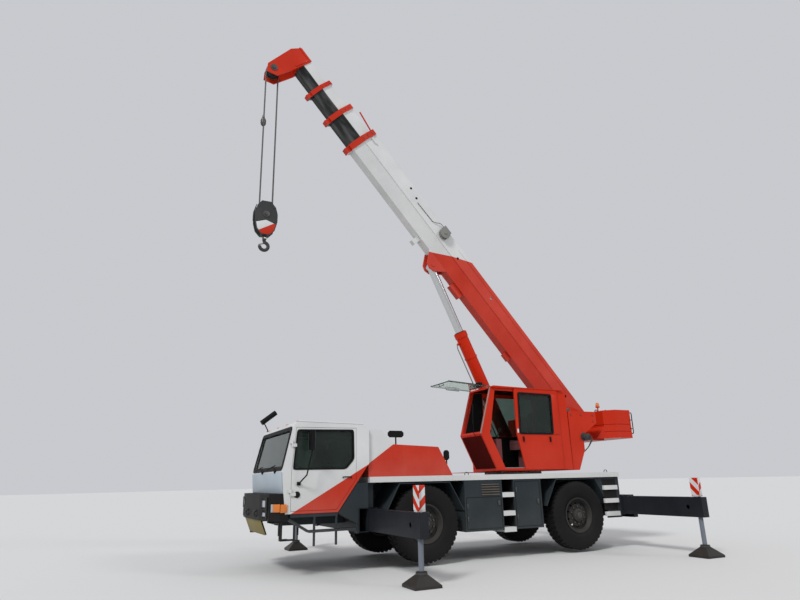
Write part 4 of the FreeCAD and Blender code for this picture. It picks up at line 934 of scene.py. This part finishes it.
def dress_boom():
    """Weld seams, sensor reel and cord, plugs, bolts, pin caps and stiffeners."""
    half = 0.245
    skin = half + 0.001
    seams = [pipe([on_boom(sign * skin, start, below), on_boom(sign * skin, end, below)], radius)
             for start, end, below, radius in ((0.30, 4.70, -0.405, 0.007), (0.05, 8.05, -0.135, 0.005))
             for sign in (1.0, -1.0)]
    merged("weld seams of the base", seams, boom_paint["base"], "boom")
    reel = [turned([(0.0, 0.0), (0.0, 0.132), (0.014, 0.132), (0.018, 0.105), (0.072, 0.105),
                    (0.076, 0.132), (0.090, 0.132), (0.090, 0.035), (0.106, 0.030), (0.108, 0.0)],
                   on_boom(half + 0.018, 5.215, -0.33), x_axis, 40),
            wrap((half + 0.004, half + 0.085), 5.12, 5.36, -0.490, -0.380, 0.012)]
    cord = pipe([on_boom(half + 0.05, 5.34, -0.43), on_boom(half + 0.05, 5.46, -0.43),
                 on_boom(half + 0.012, 5.60, -0.30), on_boom(half + 0.012, 6.2, -0.28)], 0.006, 0.04)
    merged("sensor reel", reel, housing_grey, "boom")
    merged("sensor cord", [cord], plastic, "boom")
    dots = [turned([(0.0, 0.0), (0.0, 0.028), (0.003, 0.030), (0.004, 0.0)], on_boom(sign * half, s, n),
                   along_x(sign), 20) for sign in (1.0, -1.0)
            for s, n in ((6.30, -0.34), (6.57, -0.39), (4.55, -0.24))]
    merged("plugged holes", dots, plastic, "boom")
    plates = []
    for sign in (1.0, -1.0):
        for s in (8.16, 8.20):
            for n in (-0.44, -0.30, -0.16):
                plates.append(bolt(on_boom(sign * (half + 0.027), s, n), along_x(sign), 0.014, 0.012))
        plates.append(turned([(0.0, 0.0), (0.0, 0.115), (0.014, 0.112), (0.018, 0.09), (0.030, 0.085),
                              (0.032, 0.0)], on_boom(sign * 0.33, 0.0, 0.0), along_x(sign), 36))
    merged("collar bolts of the base", plates, worn_rim, "boom")
    for index, (half, front) in enumerate(((0.219, 9.05), (0.193, 9.78)), 1):
        bolts = [bolt(on_boom(sign * (half + 0.027), front - 0.065, n), along_x(sign), 0.012, 0.010)
                 for sign in (1.0, -1.0) for n in (-0.36, -0.25, -0.14)]
        merged(f"collar bolts of section {index}", bolts, worn_rim, f"section_{index}")
    caps = [turned([(0.0, 0.0), (0.0, 0.085), (0.012, 0.082), (0.016, 0.045), (0.034, 0.04), (0.036, 0.0)],
                   on_boom(sign * 0.184, 10.62, 0.60), along_x(sign), 32) for sign in (1.0, -1.0)]
    ribs = [wrap(sorted((sign * 0.184, sign * 0.196)), s0, s1, n0, n1, 0.004) for sign in (1.0, -1.0)
            for s0, s1, n0, n1 in ((10.42, 10.46, -0.30, 0.09), (10.42, 10.80, -0.335, -0.300))]
    merged("nose pin caps", caps, worn_rim, "section_3")
    merged("stiffeners of the head", ribs, boom_paint["section_3"], "section_3")


def dress_cylinder():
    """Bands, ports and feed pipe of the barrel, and the seal of its rod."""
    foot = drawn(0.0, 3.0, 1.95)
    eye = on_boom(0.0, 4.8, 0.367)
    line = (eye - foot).normalized()
    across = along_x(1.0)
    ahead = across.cross(line).normalized()
    rings = [turned([(s, 0.139), (s, 0.151), (s + 0.02, 0.153), (s + 0.04, 0.151), (s + 0.04, 0.139)],
                    foot, line, 48) for s in (0.62, 2.50)]
    port = [turned([(0.0, 0.0), (0.0, 0.03), (0.05, 0.03), (0.052, 0.022), (0.07, 0.02), (0.072, 0.0)],
                   foot + line * s + ahead * 0.135, ahead, 24) for s in (0.45, 2.92)]
    merged("barrel bands and ports", rings + port, orange_red, "cylinder_barrel")
    feed_pipe = pipe([foot + line * 0.45 + ahead * 0.20, foot + line * 0.52 + ahead * 0.235,
                      foot + line * 2.84 + ahead * 0.235, foot + line * 2.92 + ahead * 0.20], 0.013, 0.03)
    merged("barrel feed pipe", [feed_pipe], worn_steel, "cylinder_barrel")
    seal = turned([(0.0, 0.0965), (0.0, 0.128), (0.012, 0.126), (0.018, 0.104), (0.018, 0.0965),
                   (0.0, 0.0965)], foot + line * 3.155, line, 48)
    merged("rod seal", [seal], plastic, "cylinder_barrel")
    cap = [turned([(0.0, 0.0), (0.0, 0.05), (0.010, 0.046), (0.012, 0.0)], eye + across * sign * 0.131,
                  along_x(sign), 28) for sign in (1.0, -1.0)]
    merged("eye pin caps", cap, boom_paint["base"], "boom")


def dress_hook_block():
    """Nuts, paint marks and rope guards of the block, latch and nut of the hook."""
    y = nose.y
    sheave_z = 7.0
    cheek = 0.100
    nuts, marks = [], []
    for sign in (1.0, -1.0):
        nuts.append(turned([(0.0, 0.0), (0.0, 0.075), (0.010, 0.072), (0.014, 0.040), (0.034, 0.036),
                            (0.036, 0.0)], (sign * cheek, y, sheave_z), along_x(sign), 32))
        nuts += [bolt((sign * cheek, y + dy, sheave_z + dz), along_x(sign), 0.016, 0.014)
                 for dy, dz in ((-0.16, 0.17), (0.16, 0.17), (-0.16, -0.16), (0.16, -0.16))]
        marks.append(slab([Vector((sign * 0.1005, y + dy, z)) for dy, z in
                           ((-0.205, 6.79), (0.0, 6.86), (0.205, 6.79), (0.180, 6.655), (0.088, 6.540),
                            (-0.088, 6.540), (-0.180, 6.655))], along_x(sign * 0.003), 0.001))
    merged("pin nuts of the hook block", nuts, worn_rim, "hook_block")
    merged("red and white hook block marks", marks, block_marks, "hook_block")
    guard = [pipe([(x, y + side * 0.20, 7.21), (x, y + side * 0.247, 7.05), (x, y + side * 0.247, 6.86)],
                  0.008, 0.03) for side in (-1.0, 1.0) for x in (-0.05, 0.05)]
    merged("rope guards", guard, block_grey, "hook_block")
    low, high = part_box("crane_hook")
    centre = Vector((0.0, y, low.z + 0.125))
    latch = slab([centre + Vector((-0.020, dy, dz)) for dy, dz in
                  ((0.020, 0.085), (-0.115, 0.030), (-0.120, 0.016), (-0.100, 0.018), (0.020, 0.062))],
                 along_x(0.040), 0.004)
    pin = pipe([centre + Vector((-0.034, 0.012, 0.074)), centre + Vector((0.034, 0.012, 0.074))], 0.009)
    nut = turned([(0.0, 0.0), (0.0, 0.052), (0.030, 0.056), (0.042, 0.050), (0.044, 0.0)],
                 (0.0, y, high.z - 0.075), z_axis, 6)
    merged("hook latch and nut", [latch, pin, nut], worn_steel, "hook")


def dress_ropes():
    """The four falls, straight between the head and the block, and the limit switch's weight."""
    low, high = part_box("hoist_ropes")
    radius = 0.009
    weight_foot = 9.20
    falls = [pipe([(x, y, low.z), (x, y, high.z)], radius) for x in (low.x + radius, high.x - radius)
             for y in (low.y + radius, high.y - radius)]
    merged("rope falls", falls, wire_steel, None, ["hoist_ropes"])
    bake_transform(bpy.context.object)
    rope_x, rope_y = low.x + radius, low.y + radius
    weight = turned([(0.0, 0.0097), (0.0, 0.028), (0.03, 0.052), (0.06, 0.058), (0.14, 0.058),
                     (0.17, 0.052), (0.19, 0.034), (0.22, 0.030), (0.28, 0.022), (0.28, 0.0097),
                     (0.0, 0.0097)], (rope_x, rope_y, weight_foot), z_axis, 28)
    ties = [turned([(z, 0.050), (z, 0.062), (z + 0.012, 0.062), (z + 0.012, 0.050)],
                   (rope_x, rope_y, weight_foot), z_axis, 28) for z in (0.07, 0.12)]
    merged("limit switch weight", [weight] + ties, worn_rim, "hoist_line")


def dress_winch():
    """Rope laid in turns on the drum, and the drive with its hoses on the left of the frame."""
    centre = drawn(0.0, 4.20, 2.27)
    turn_count, pitch = 24, 0.0212
    drum_half, laid_radius, bulge = 0.254, 0.211, 0.018
    profile = []
    for k in range(turn_count):
        start = -drum_half + k * pitch
        profile += [(start + pitch * t, laid_radius + bulge * math.sin(math.pi * t))
                    for t in (0.0, 0.18, 0.38, 0.62, 0.82)]
    profile.append((drum_half, laid_radius))
    coil = turned(profile, centre, x_axis, 60)
    merged("rope on the drum", [coil], wire_steel, "winch_drum")
    motor = [turned([(0.0, 0.0), (0.0, 0.135), (0.02, 0.140), (0.05, 0.140), (0.055, 0.112), (0.20, 0.108),
                     (0.215, 0.085), (0.30, 0.080), (0.315, 0.06), (0.36, 0.055), (0.362, 0.0)],
                    centre + along_x(0.375), x_axis, 36)]
    motor += [bolt(centre + Vector((0.42, 0.125 * math.sin(a), 0.125 * math.cos(a))), x_axis, 0.011, 0.012)
              for a in (0.5, 1.55, 2.6, 3.65, 4.7, 5.75)]
    motor.append(block(centre + Vector((0.50, -0.05, 0.07)), centre + Vector((0.62, 0.05, 0.15)), 0.008))
    merged("winch drive", motor, block_grey, "platform")
    hoses = [pipe([centre + Vector((0.53 + k * 0.05, 0.0, 0.14)),
                   centre + Vector((0.53 + k * 0.05, 0.0, 0.20)),
                   centre + Vector((0.53 + k * 0.05, -0.22, 0.12)),
                   centre + Vector((0.50 + k * 0.05, -0.40, -0.30)),
                   centre + Vector((0.345, -0.46, -0.42 - k * 0.05))], 0.012, 0.06) for k in (0, 1)]
    merged("winch hoses", hoses, plastic, "platform")


# Platform and crane cab

cab_outer = body_half - 0.05
cab_inner = 0.352
# inset from the side walls of the dark sheets that paint shade inside the crane cab
shade_sheet_gap = 0.0465


def dress_crane_cab():
    """Window rubbers, panels, doorway edges, wiper, work lamp, levers and seat."""
    outer, inner = cab_outer, cab_inner
    x = outer + 0.042
    slide_rim = framed(side_view(x, [(2.262, 2.392), (2.290, 3.278), (3.190, 3.262), (3.170, 2.392)]),
                       0.040, along_x(0.007), 0.002, 0.05)
    infill = slab(side_view(x, [(3.150, 2.395), (3.170, 3.260), (3.322, 3.256), (3.332, 2.395)]),
                  along_x(0.004), 0.001)
    merged("red rear of the sliding window", [infill], orange_red, "sliding_door")
    latches = []
    for y in (2.36, 3.06):
        latches.append(slab(side_view(x, [(y - 0.018, 2.345), (y + 0.018, 2.345), (y + 0.012, 2.235),
                                          (y - 0.012, 2.235)]), along_x(0.022), 0.005))
    merged("sliding window rubber and latches", [slide_rim] + latches, plastic, "sliding_door")
    sticker = slab(side_view(x + 0.002, [(2.215, 2.42), (2.255, 2.42), (2.255, 2.50), (2.215, 2.50)]),
                   along_x(0.002))
    merged("bare white sticker", [sticker], step_white, "sliding_door")
    rear = framed(side_view(outer, [(2.765, 2.405), (2.765, 3.245), (3.305, 3.245), (3.305, 2.405)]), 0.030,
                  along_x(0.004), 0.0015, 0.03)
    merged("rear side window rubber", [rear], plastic, "platform")
    low_run = [(1.700, 1.66), (1.345, 2.40)]
    corner = drawn(0.0, *low_run[1])
    fall = Vector((0.0, low_run[0][0] - low_run[1][0], low_run[0][1] - low_run[1][1])).normalized()
    out = Vector((0.0, fall.z, -fall.y))
    # the front lower panel is dark red: painted shade on the cab's red front
    panel = slab([corner + along_x(px) + fall * down + out * 0.001
                  for px, down in ((inner + 0.045, 0.045), (outer - 0.045, 0.045), (outer - 0.045, 0.765),
                                   (inner + 0.045, 0.765))], out * 0.006, 0.004)
    merged("front lower panel", [panel], shaded_red, "platform")
    edge = pipe(side_view(outer - 0.012, [(1.340, 2.40), (1.636, 3.365)]), 0.014, 0.0)
    sill = slab(side_view(outer - 0.05, [(1.885, 1.706), (2.69, 1.706), (2.69, 1.722), (1.885, 1.722)]),
                along_x(0.052), 0.003)
    merged("grey edges of the doorway", [edge, sill], housing_grey, "platform")
    rail = pipe(side_view(0.62, [(1.50, 3.43), (1.50, 3.47), (3.40, 3.45), (3.40, 3.38)]), 0.008, 0.03)
    rod = pipe(side_view(outer - 0.12, [(1.28, 2.36), (1.24, 2.40), (1.24, 2.86)]), 0.007, 0.03)
    blade = pipe([drawn(outer - 0.12, 1.236, 2.60), drawn(outer - 0.20, 1.31, 3.02)], 0.008, 0.0)
    merged("roof wire and front wiper", [rail, rod, blade], plastic, "platform")
    lamp = [block(drawn(0.70, 1.585, 3.41), drawn(0.84, 1.685, 3.52), 0.018),
            turned([(0.0, 0.0), (0.0, 0.055), (0.012, 0.052), (0.014, 0.0)], drawn(0.77, 1.585, 3.465),
                   (0.0, -1.0, 0.0), 28)]
    merged("roof work lamp", lamp, plastic, "platform")
    levers, boots = [], []
    for px in (0.58, 0.96):
        levers.append(pipe(side_view(px, [(1.85, 2.30), (1.95, 2.47)]), 0.008, 0.0))
        levers.append(turned([(0.0, 0.0), (0.0, 0.020), (0.03, 0.027), (0.07, 0.024), (0.09, 0.012),
                              (0.092, 0.0)], drawn(px, 1.945, 2.455), (0.0, 0.45, 0.89), 20))
        boots.append(turned([(0.0, 0.05), (0.02, 0.048), (0.03, 0.038), (0.04, 0.041), (0.055, 0.027),
                             (0.07, 0.022), (0.07, 0.0)], drawn(px, 1.848, 2.298), (0.0, 0.45, 0.89), 24))
    pedals = [slab(side_view(px, [(1.96, 1.75), (2.10, 1.83), (2.095, 1.845), (1.955, 1.765)]),
                   along_x(0.09), 0.004) for px in (0.60, 0.85)]
    merged("control levers and pedals", levers + boots + pedals, plastic, "platform")
    cushion = block(drawn(0.515, 2.49, 2.215), drawn(1.027, 3.0, 2.275), 0.028, 4)
    wings = [block(drawn(px, 2.50, 2.225), drawn(px + 0.06, 2.98, 2.315), 0.025, 4)
             for px in (0.512, 0.970)]
    backrest = slab(side_view(0.54, [(2.935, 2.29), (3.045, 2.89), (3.062, 2.89), (2.955, 2.285)]),
                    along_x(0.462), 0.012, 3)
    head = slab(side_view(0.66, [(3.055, 2.935), (3.085, 3.11), (3.165, 3.10), (3.15, 2.925)]),
                along_x(0.222), 0.03, 4)
    merged("seat cushions", [cushion, backrest, head] + wings, seat_cloth, "platform")


def dress_manifold():
    """Swivel valve block with its hoses, on the left tower's lower edge."""
    centre = drawn(body_half - 0.10, 4.07, 2.36)
    bodies = [turned([(0.0, 0.0), (0.0, 0.085), (0.02, 0.092), (0.075, 0.092), (0.08, 0.07),
                      (0.15, 0.066), (0.155, 0.04), (0.17, 0.038), (0.172, 0.0)], centre + along_x(-0.06),
                     x_axis, 32), block(centre + Vector((-0.10, 0.05, -0.06)), centre
                                        + Vector((0.03, 0.17, 0.07)), 0.010)]
    bodies += [bolt(centre + Vector((0.015, 0.075 * math.sin(a), 0.075 * math.cos(a))), x_axis, 0.009,
                    0.012) for a in (0.5, 2.07, 3.64, 5.21)]
    hoses = [pipe([centre + Vector((0.03, 0.14, -0.03 + k * 0.05)),
                   centre + Vector((0.07, 0.20, -0.05 + k * 0.05)), centre + Vector((0.02, 0.10, -0.22)),
                   centre + Vector((-0.05, -0.12, -0.42))], 0.011, 0.05) for k in (0, 1)]
    merged("valve block", bodies + hoses, block_grey, "platform")


def paint_shade_in_crane_cab():
    """Dark sheets on the crane cab's walls, roof, back and floor, as painted shade inside the cab."""
    x0, x1 = cab_inner + shade_sheet_gap, cab_outer - shade_sheet_gap
    wide = along_x(x1 - x0)
    # trim here: dark sheets on the inner faces, painted shade
    trim = [slab(side_view(x0, [(1.735, 3.352), (3.530, 3.312), (3.529, 3.306), (1.735, 3.346)]), wide),
            slab(side_view(x0, [(1.79, 1.7065), (3.58, 1.7065), (3.58, 1.712), (1.79, 1.712)]), wide),
            slab(side_view(x0, [(3.588, 1.72), (3.583, 2.44), (3.578, 2.44), (3.583, 1.72)]), wide),
            slab(side_view(x0, [(1.765, 1.72), (3.58, 1.72), (3.57, 2.395), (1.45, 2.395)]),
                 along_x(0.004)),
            slab(side_view(x0, [(1.44, 2.41), (1.93, 2.41), (1.93, 3.33), (1.72, 3.33)]), along_x(0.004)),
            slab(side_view(x1, [(2.70, 1.72), (3.575, 1.72), (3.57, 2.42), (2.70, 2.42)]),
                 along_x(-0.004))]
    merged("painted shade inside the crane cab", trim, plastic, "platform")


def dress_roof_screen():
    """Rubber, strut and grip of the windscreen that is flipped up."""
    rise = math.radians(3.2)
    ahead = Vector((0.0, -math.cos(rise), math.sin(rise)))
    up = Vector((0.0, math.sin(rise), math.cos(rise)))
    hinge = drawn(0.0, 1.621, 3.378)
    x0, x1 = cab_inner + 0.030, cab_outer - 0.030

    def at(x, s, n):
        return hinge + along_x(x) + ahead * s + up * n
    rim = framed([at(x0, 0.06, 0.007), at(x0, 0.972, 0.007), at(x1, 0.972, 0.007), at(x1, 0.06, 0.007)],
                 0.028, up * 0.012, 0.003, 0.02)
    strut = pipe([at(x0 + 0.05, 0.30, -0.012), at(x0 + 0.05, 0.30, -0.03), at(x0 + 0.05, 0.62, -0.03),
                  at(x0 + 0.05, 0.62, -0.012)], 0.007, 0.01)
    grip = pipe([at((x0 + x1) / 2 - 0.09, 0.93, -0.001), at((x0 + x1) / 2 - 0.09, 0.93, -0.03),
                 at((x0 + x1) / 2 + 0.09, 0.93, -0.03), at((x0 + x1) / 2 + 0.09, 0.93, -0.001)], 0.007,
                0.012)
    merged("screen rubber and grip", [rim, strut, grip], plastic, "roof_screen")


def dress_platform():
    """Slew ring bolts, eyes and rails of the counterweight, beacon, bolts and pin caps."""
    ring = []
    ring_centre, ring_radius, bolt_count = 2.90, 0.622, 40
    for k in range(bolt_count):
        a = math.tau * k / bolt_count
        ring.append(bolt(drawn(ring_radius * math.cos(a), ring_centre + ring_radius * math.sin(a), 1.640),
                         z_axis, 0.0115, 0.006))
    merged("slew ring bolts", ring, worn_rim, "carrier")
    half, rear, low, high = body_half - 0.11, 5.64, 2.35, 2.99
    eyes = [pipe([drawn(x - 0.04, y, high - 0.01), drawn(x - 0.04, y, high + 0.075),
                  drawn(x + 0.04, y, high + 0.075), drawn(x + 0.04, y, high - 0.01)], 0.011, 0.035)
            for x in (-0.75, 0.42) for y in (5.20, 5.50)]
    merged("lifting eyes of the counterweight", eyes, worn_rim, "platform")
    rails = []
    for sign in (1.0, -1.0):
        rails.append(pipe([drawn(sign * (half - 0.02), rear - 0.06, high - 0.06),
                           drawn(sign * (half + 0.018), rear - 0.05, high - 0.06),
                           drawn(sign * (half + 0.018), rear - 0.05, low + 0.10),
                           drawn(sign * (half - 0.02), rear - 0.06, low + 0.10)], 0.011, 0.03))
        rails += [pipe([drawn(sign * (half - 0.01), rear - 0.14, z),
                        drawn(sign * (half + 0.018), rear - 0.05, z)], 0.008, 0.0) for z in (2.56, 2.76)]
    merged("hand rails of the counterweight", rails, plastic, "platform")
    lens_shape = turned([(0.0, 0.0), (0.0, 0.0475), (0.010, 0.0475), (0.06, 0.040), (0.085, 0.030),
                         (0.094, 0.018), (0.097, 0.0)], drawn(0.70, 5.0, high + 0.113), z_axis, 32)
    merged("beacon lens", [lens_shape], amber, "platform")
    tower = [bolt(drawn(sign * 1.152, y, z), along_x(sign), 0.016, 0.012) for sign in (1.0, -1.0)
             for y, z in ((3.76, 2.84), (4.05, 2.84), (4.38, 2.84), (4.38, 2.70))]
    caps = [turned([(0.0, 0.0), (0.0, 0.11), (0.012, 0.105), (0.016, 0.06), (0.03, 0.055), (0.032, 0.0)],
                   drawn(sign * 0.331, 4.377, 2.982), along_x(sign), 36) for sign in (1.0, -1.0)]
    merged("bolts and pin caps of the frame", tower + caps, worn_rim, "platform")


# Hood, deck and lockers

def dress_hood():
    """Vent slats on top of the hood, and the exhaust end."""
    slats = []
    for k in range(9):
        y = -0.50 + k * 0.085
        z = 2.1705 - (y + 0.63) * 0.0465
        slats.append(slab(side_view(-0.42, [(y, z), (y + 0.055, z + 0.016), (y + 0.060, z + 0.010),
                                            (y + 0.010, z - 0.006)]), along_x(0.84), 0.002))
    merged("hood vent slats", slats, orange_red, "carrier")
    pipe_end = pipe(side_view(-0.90, [(-0.30, 2.12), (-0.30, 2.42), (-0.18, 2.52)]), 0.045, 0.07, 6)
    merged("exhaust end", [pipe_end], worn_rim, "carrier")


def dress_lockers():
    """Locker doors' seams, grips, hinges and louvres, and black sheets in the ladder's recess as painted
    shade.
    """
    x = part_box("side_boxes")[1].x
    seams, slats, grips = [], [], []
    recess_low, recess_high = 0.545, 1.485
    for sign, doors in ((1.0, ((0.88, 1.70, 1.17), (2.04, 2.66, 1.45))),
                        (-1.0, ((0.90, 1.72, 1.45), (1.76, 2.66, 1.45)))):
        for y0, y1, top in doors:
            seams.append(framed(side_view(sign * (x + 0.0005),
                                          [(y0, 0.58), (y0, top), (y1, top), (y1, 0.58)]), 0.010,
                                along_x(sign * 0.003), 0.001, 0.02))
            grips.append(slab(side_view(sign * (x + 0.001), [(y1 - 0.09, 1.00), (y1 - 0.04, 1.00),
                    (y1 - 0.04, 1.09), (y1 - 0.09, 1.09)]), along_x(sign * 0.016), 0.005))
            grips += [slab(side_view(sign * (x + 0.001), [(y0 + 0.012, z), (y0 + 0.042, z),
                    (y0 + 0.042, z + 0.09), (y0 + 0.012, z + 0.09)]), along_x(sign * 0.010), 0.003)
                      for z in (0.72, top - 0.21)]
    for k in range(5):
        z = 1.200 + k * 0.048
        slats.append(slab([drawn(x - 0.016, 1.242, z + 0.024), drawn(x + 0.010, 1.242, z + 0.002),
                           drawn(x + 0.012, 1.242, z + 0.005), drawn(x - 0.014, 1.242, z + 0.0255)],
                          along_y(0.426), 0.0))
    # black sheets on the recess's walls: painted shade
    recess = [slab(side_view(0.731, [(1.732, recess_low), (1.732, recess_high), (2.008, recess_high),
                                     (2.008, recess_low)]), along_x(0.003), 0.0)]
    recess += [slab([drawn(0.735, y, recess_low), drawn(0.735, y, recess_high),
                     drawn(1.186, y, recess_high), drawn(1.186, y, recess_low)], along_y(push), 0.0)
               for y, push in ((1.7305, 0.002), (2.0095, -0.002))]
    merged("painted shade in the ladder recess", recess, plastic, "carrier")
    merged("locker seams", seams, plastic, "carrier")
    merged("locker grips and hinges", grips, worn_rim, "carrier")
    merged("louvres", slats, louvre_brown, "carrier")


def dress_deck():
    """Lashing rings, tail lamp lenses and black sheets behind the rear steps as painted shade."""
    rings = []
    for sign in (1.0, -1.0):
        for y in (0.95, 1.80, 4.55):
            rings.append(pipe(side_view(sign * 1.18, [(y - 0.04, deck_top + 0.002),
                    (y - 0.04, deck_top + 0.05), (y + 0.04, deck_top + 0.05),
                    (y + 0.04, deck_top + 0.002)]), 0.008, 0.03))
    merged("lashing rings", rings, worn_rim, "carrier")
    tail_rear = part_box("outrigger_boxes")[1].y
    lamps = []
    for sign in (1.0, -1.0):
        lamps.append(slab([Vector((sign * px, tail_rear, pz)) for px, pz in ((0.775, 0.775),
                (0.775, 0.865), (1.125, 0.865), (1.125, 0.775))], along_y(0.008), 0.003))
    merged("tail lamp lenses", lamps, tail_red, "carrier")
    # black sheets behind the rear steps: painted shade
    shade_behind_steps = [slab(side_view(sign * (body_half - 0.0498),
                            [(4.40, 0.80), (4.40, 1.44), (4.785, 1.44), (4.785, 0.80)]),
                  along_x(sign * 0.002)) for sign in (1.0, -1.0)]
    merged("painted shade behind the rear steps", shade_behind_steps, plastic, "carrier")


dress_wheels()
dress_outriggers()
dress_carrier_cab()
dress_bumper()
dress_boom()
dress_cylinder()
dress_hook_block()
dress_ropes()
dress_winch()
dress_crane_cab()
paint_shade_in_crane_cab()
dress_manifold()
dress_roof_screen()
dress_platform()
dress_hood()
dress_lockers()
dress_deck()


# Stage, light and camera

def stage_floor():
    """Plain pale ground under the crane."""
    made, _, shader = new_material("pale floor")
    shader.inputs["Base Color"].default_value = (0.62, 0.62, 0.61, 1.0)
    shader.inputs["Roughness"].default_value = 0.9
    clear_selection()
    bpy.ops.mesh.primitive_plane_add(size=400.0, location=(0.0, 0.0, -0.001))
    floor = bpy.context.object
    floor.name = "floor"
    bpy.ops.object.transform_apply(location=True)
    floor.data.materials.append(made)


def soft_light():
    """Even sky with a soft key and fill."""
    world = bpy.data.worlds.new("studio")
    bpy.context.scene.world = world
    world.use_nodes = True
    tree = world.node_tree
    sky = tree.nodes["Background"]
    sky.inputs["Color"].default_value = (0.93, 0.95, 1.0, 1.0)
    sky.inputs["Strength"].default_value = 0.62
    for name, strength, turn in (("key", 1.9, (48.0, 0.0, 35.0)), ("fill", 0.5, (60.0, 0.0, 130.0))):
        lamp = bpy.data.lights.new(name, "SUN")
        lamp.energy = strength
        lamp.angle = math.radians(12.0)
        holder = bpy.data.objects.new(name, lamp)
        holder.rotation_euler = [math.radians(v) for v in turn]
        bpy.context.scene.collection.objects.link(holder)


def photo_camera():
    """The photo's viewpoint, solved from about 30 points of the photo."""
    yaw, pitch, roll = (math.radians(v) for v in (154.51, 16.96, -1.33))
    ahead = Vector((math.cos(pitch) * math.cos(yaw), math.cos(pitch) * math.sin(yaw), math.sin(pitch)))
    level = ahead.cross(along_z(1.0)).normalized()
    upright = level.cross(ahead)
    right = level * math.cos(roll) + upright * math.sin(roll)
    up = upright * math.cos(roll) - level * math.sin(roll)
    turn = Matrix((right, up, -ahead)).transposed().to_4x4()
    lens = bpy.data.cameras.new("photo")
    lens.sensor_width = 36.0
    lens.lens = 26.65
    lens.clip_end = 500.0
    camera = bpy.data.objects.new("photo", lens)
    camera.matrix_world = Matrix.Translation((11.676, from_axle(-5.423), 1.512)) @ turn
    bpy.context.scene.collection.objects.link(camera)
    bpy.context.scene.camera = camera


stage_floor()
soft_light()
photo_camera()
bpy.context.scene.view_settings.view_transform = "Standard"
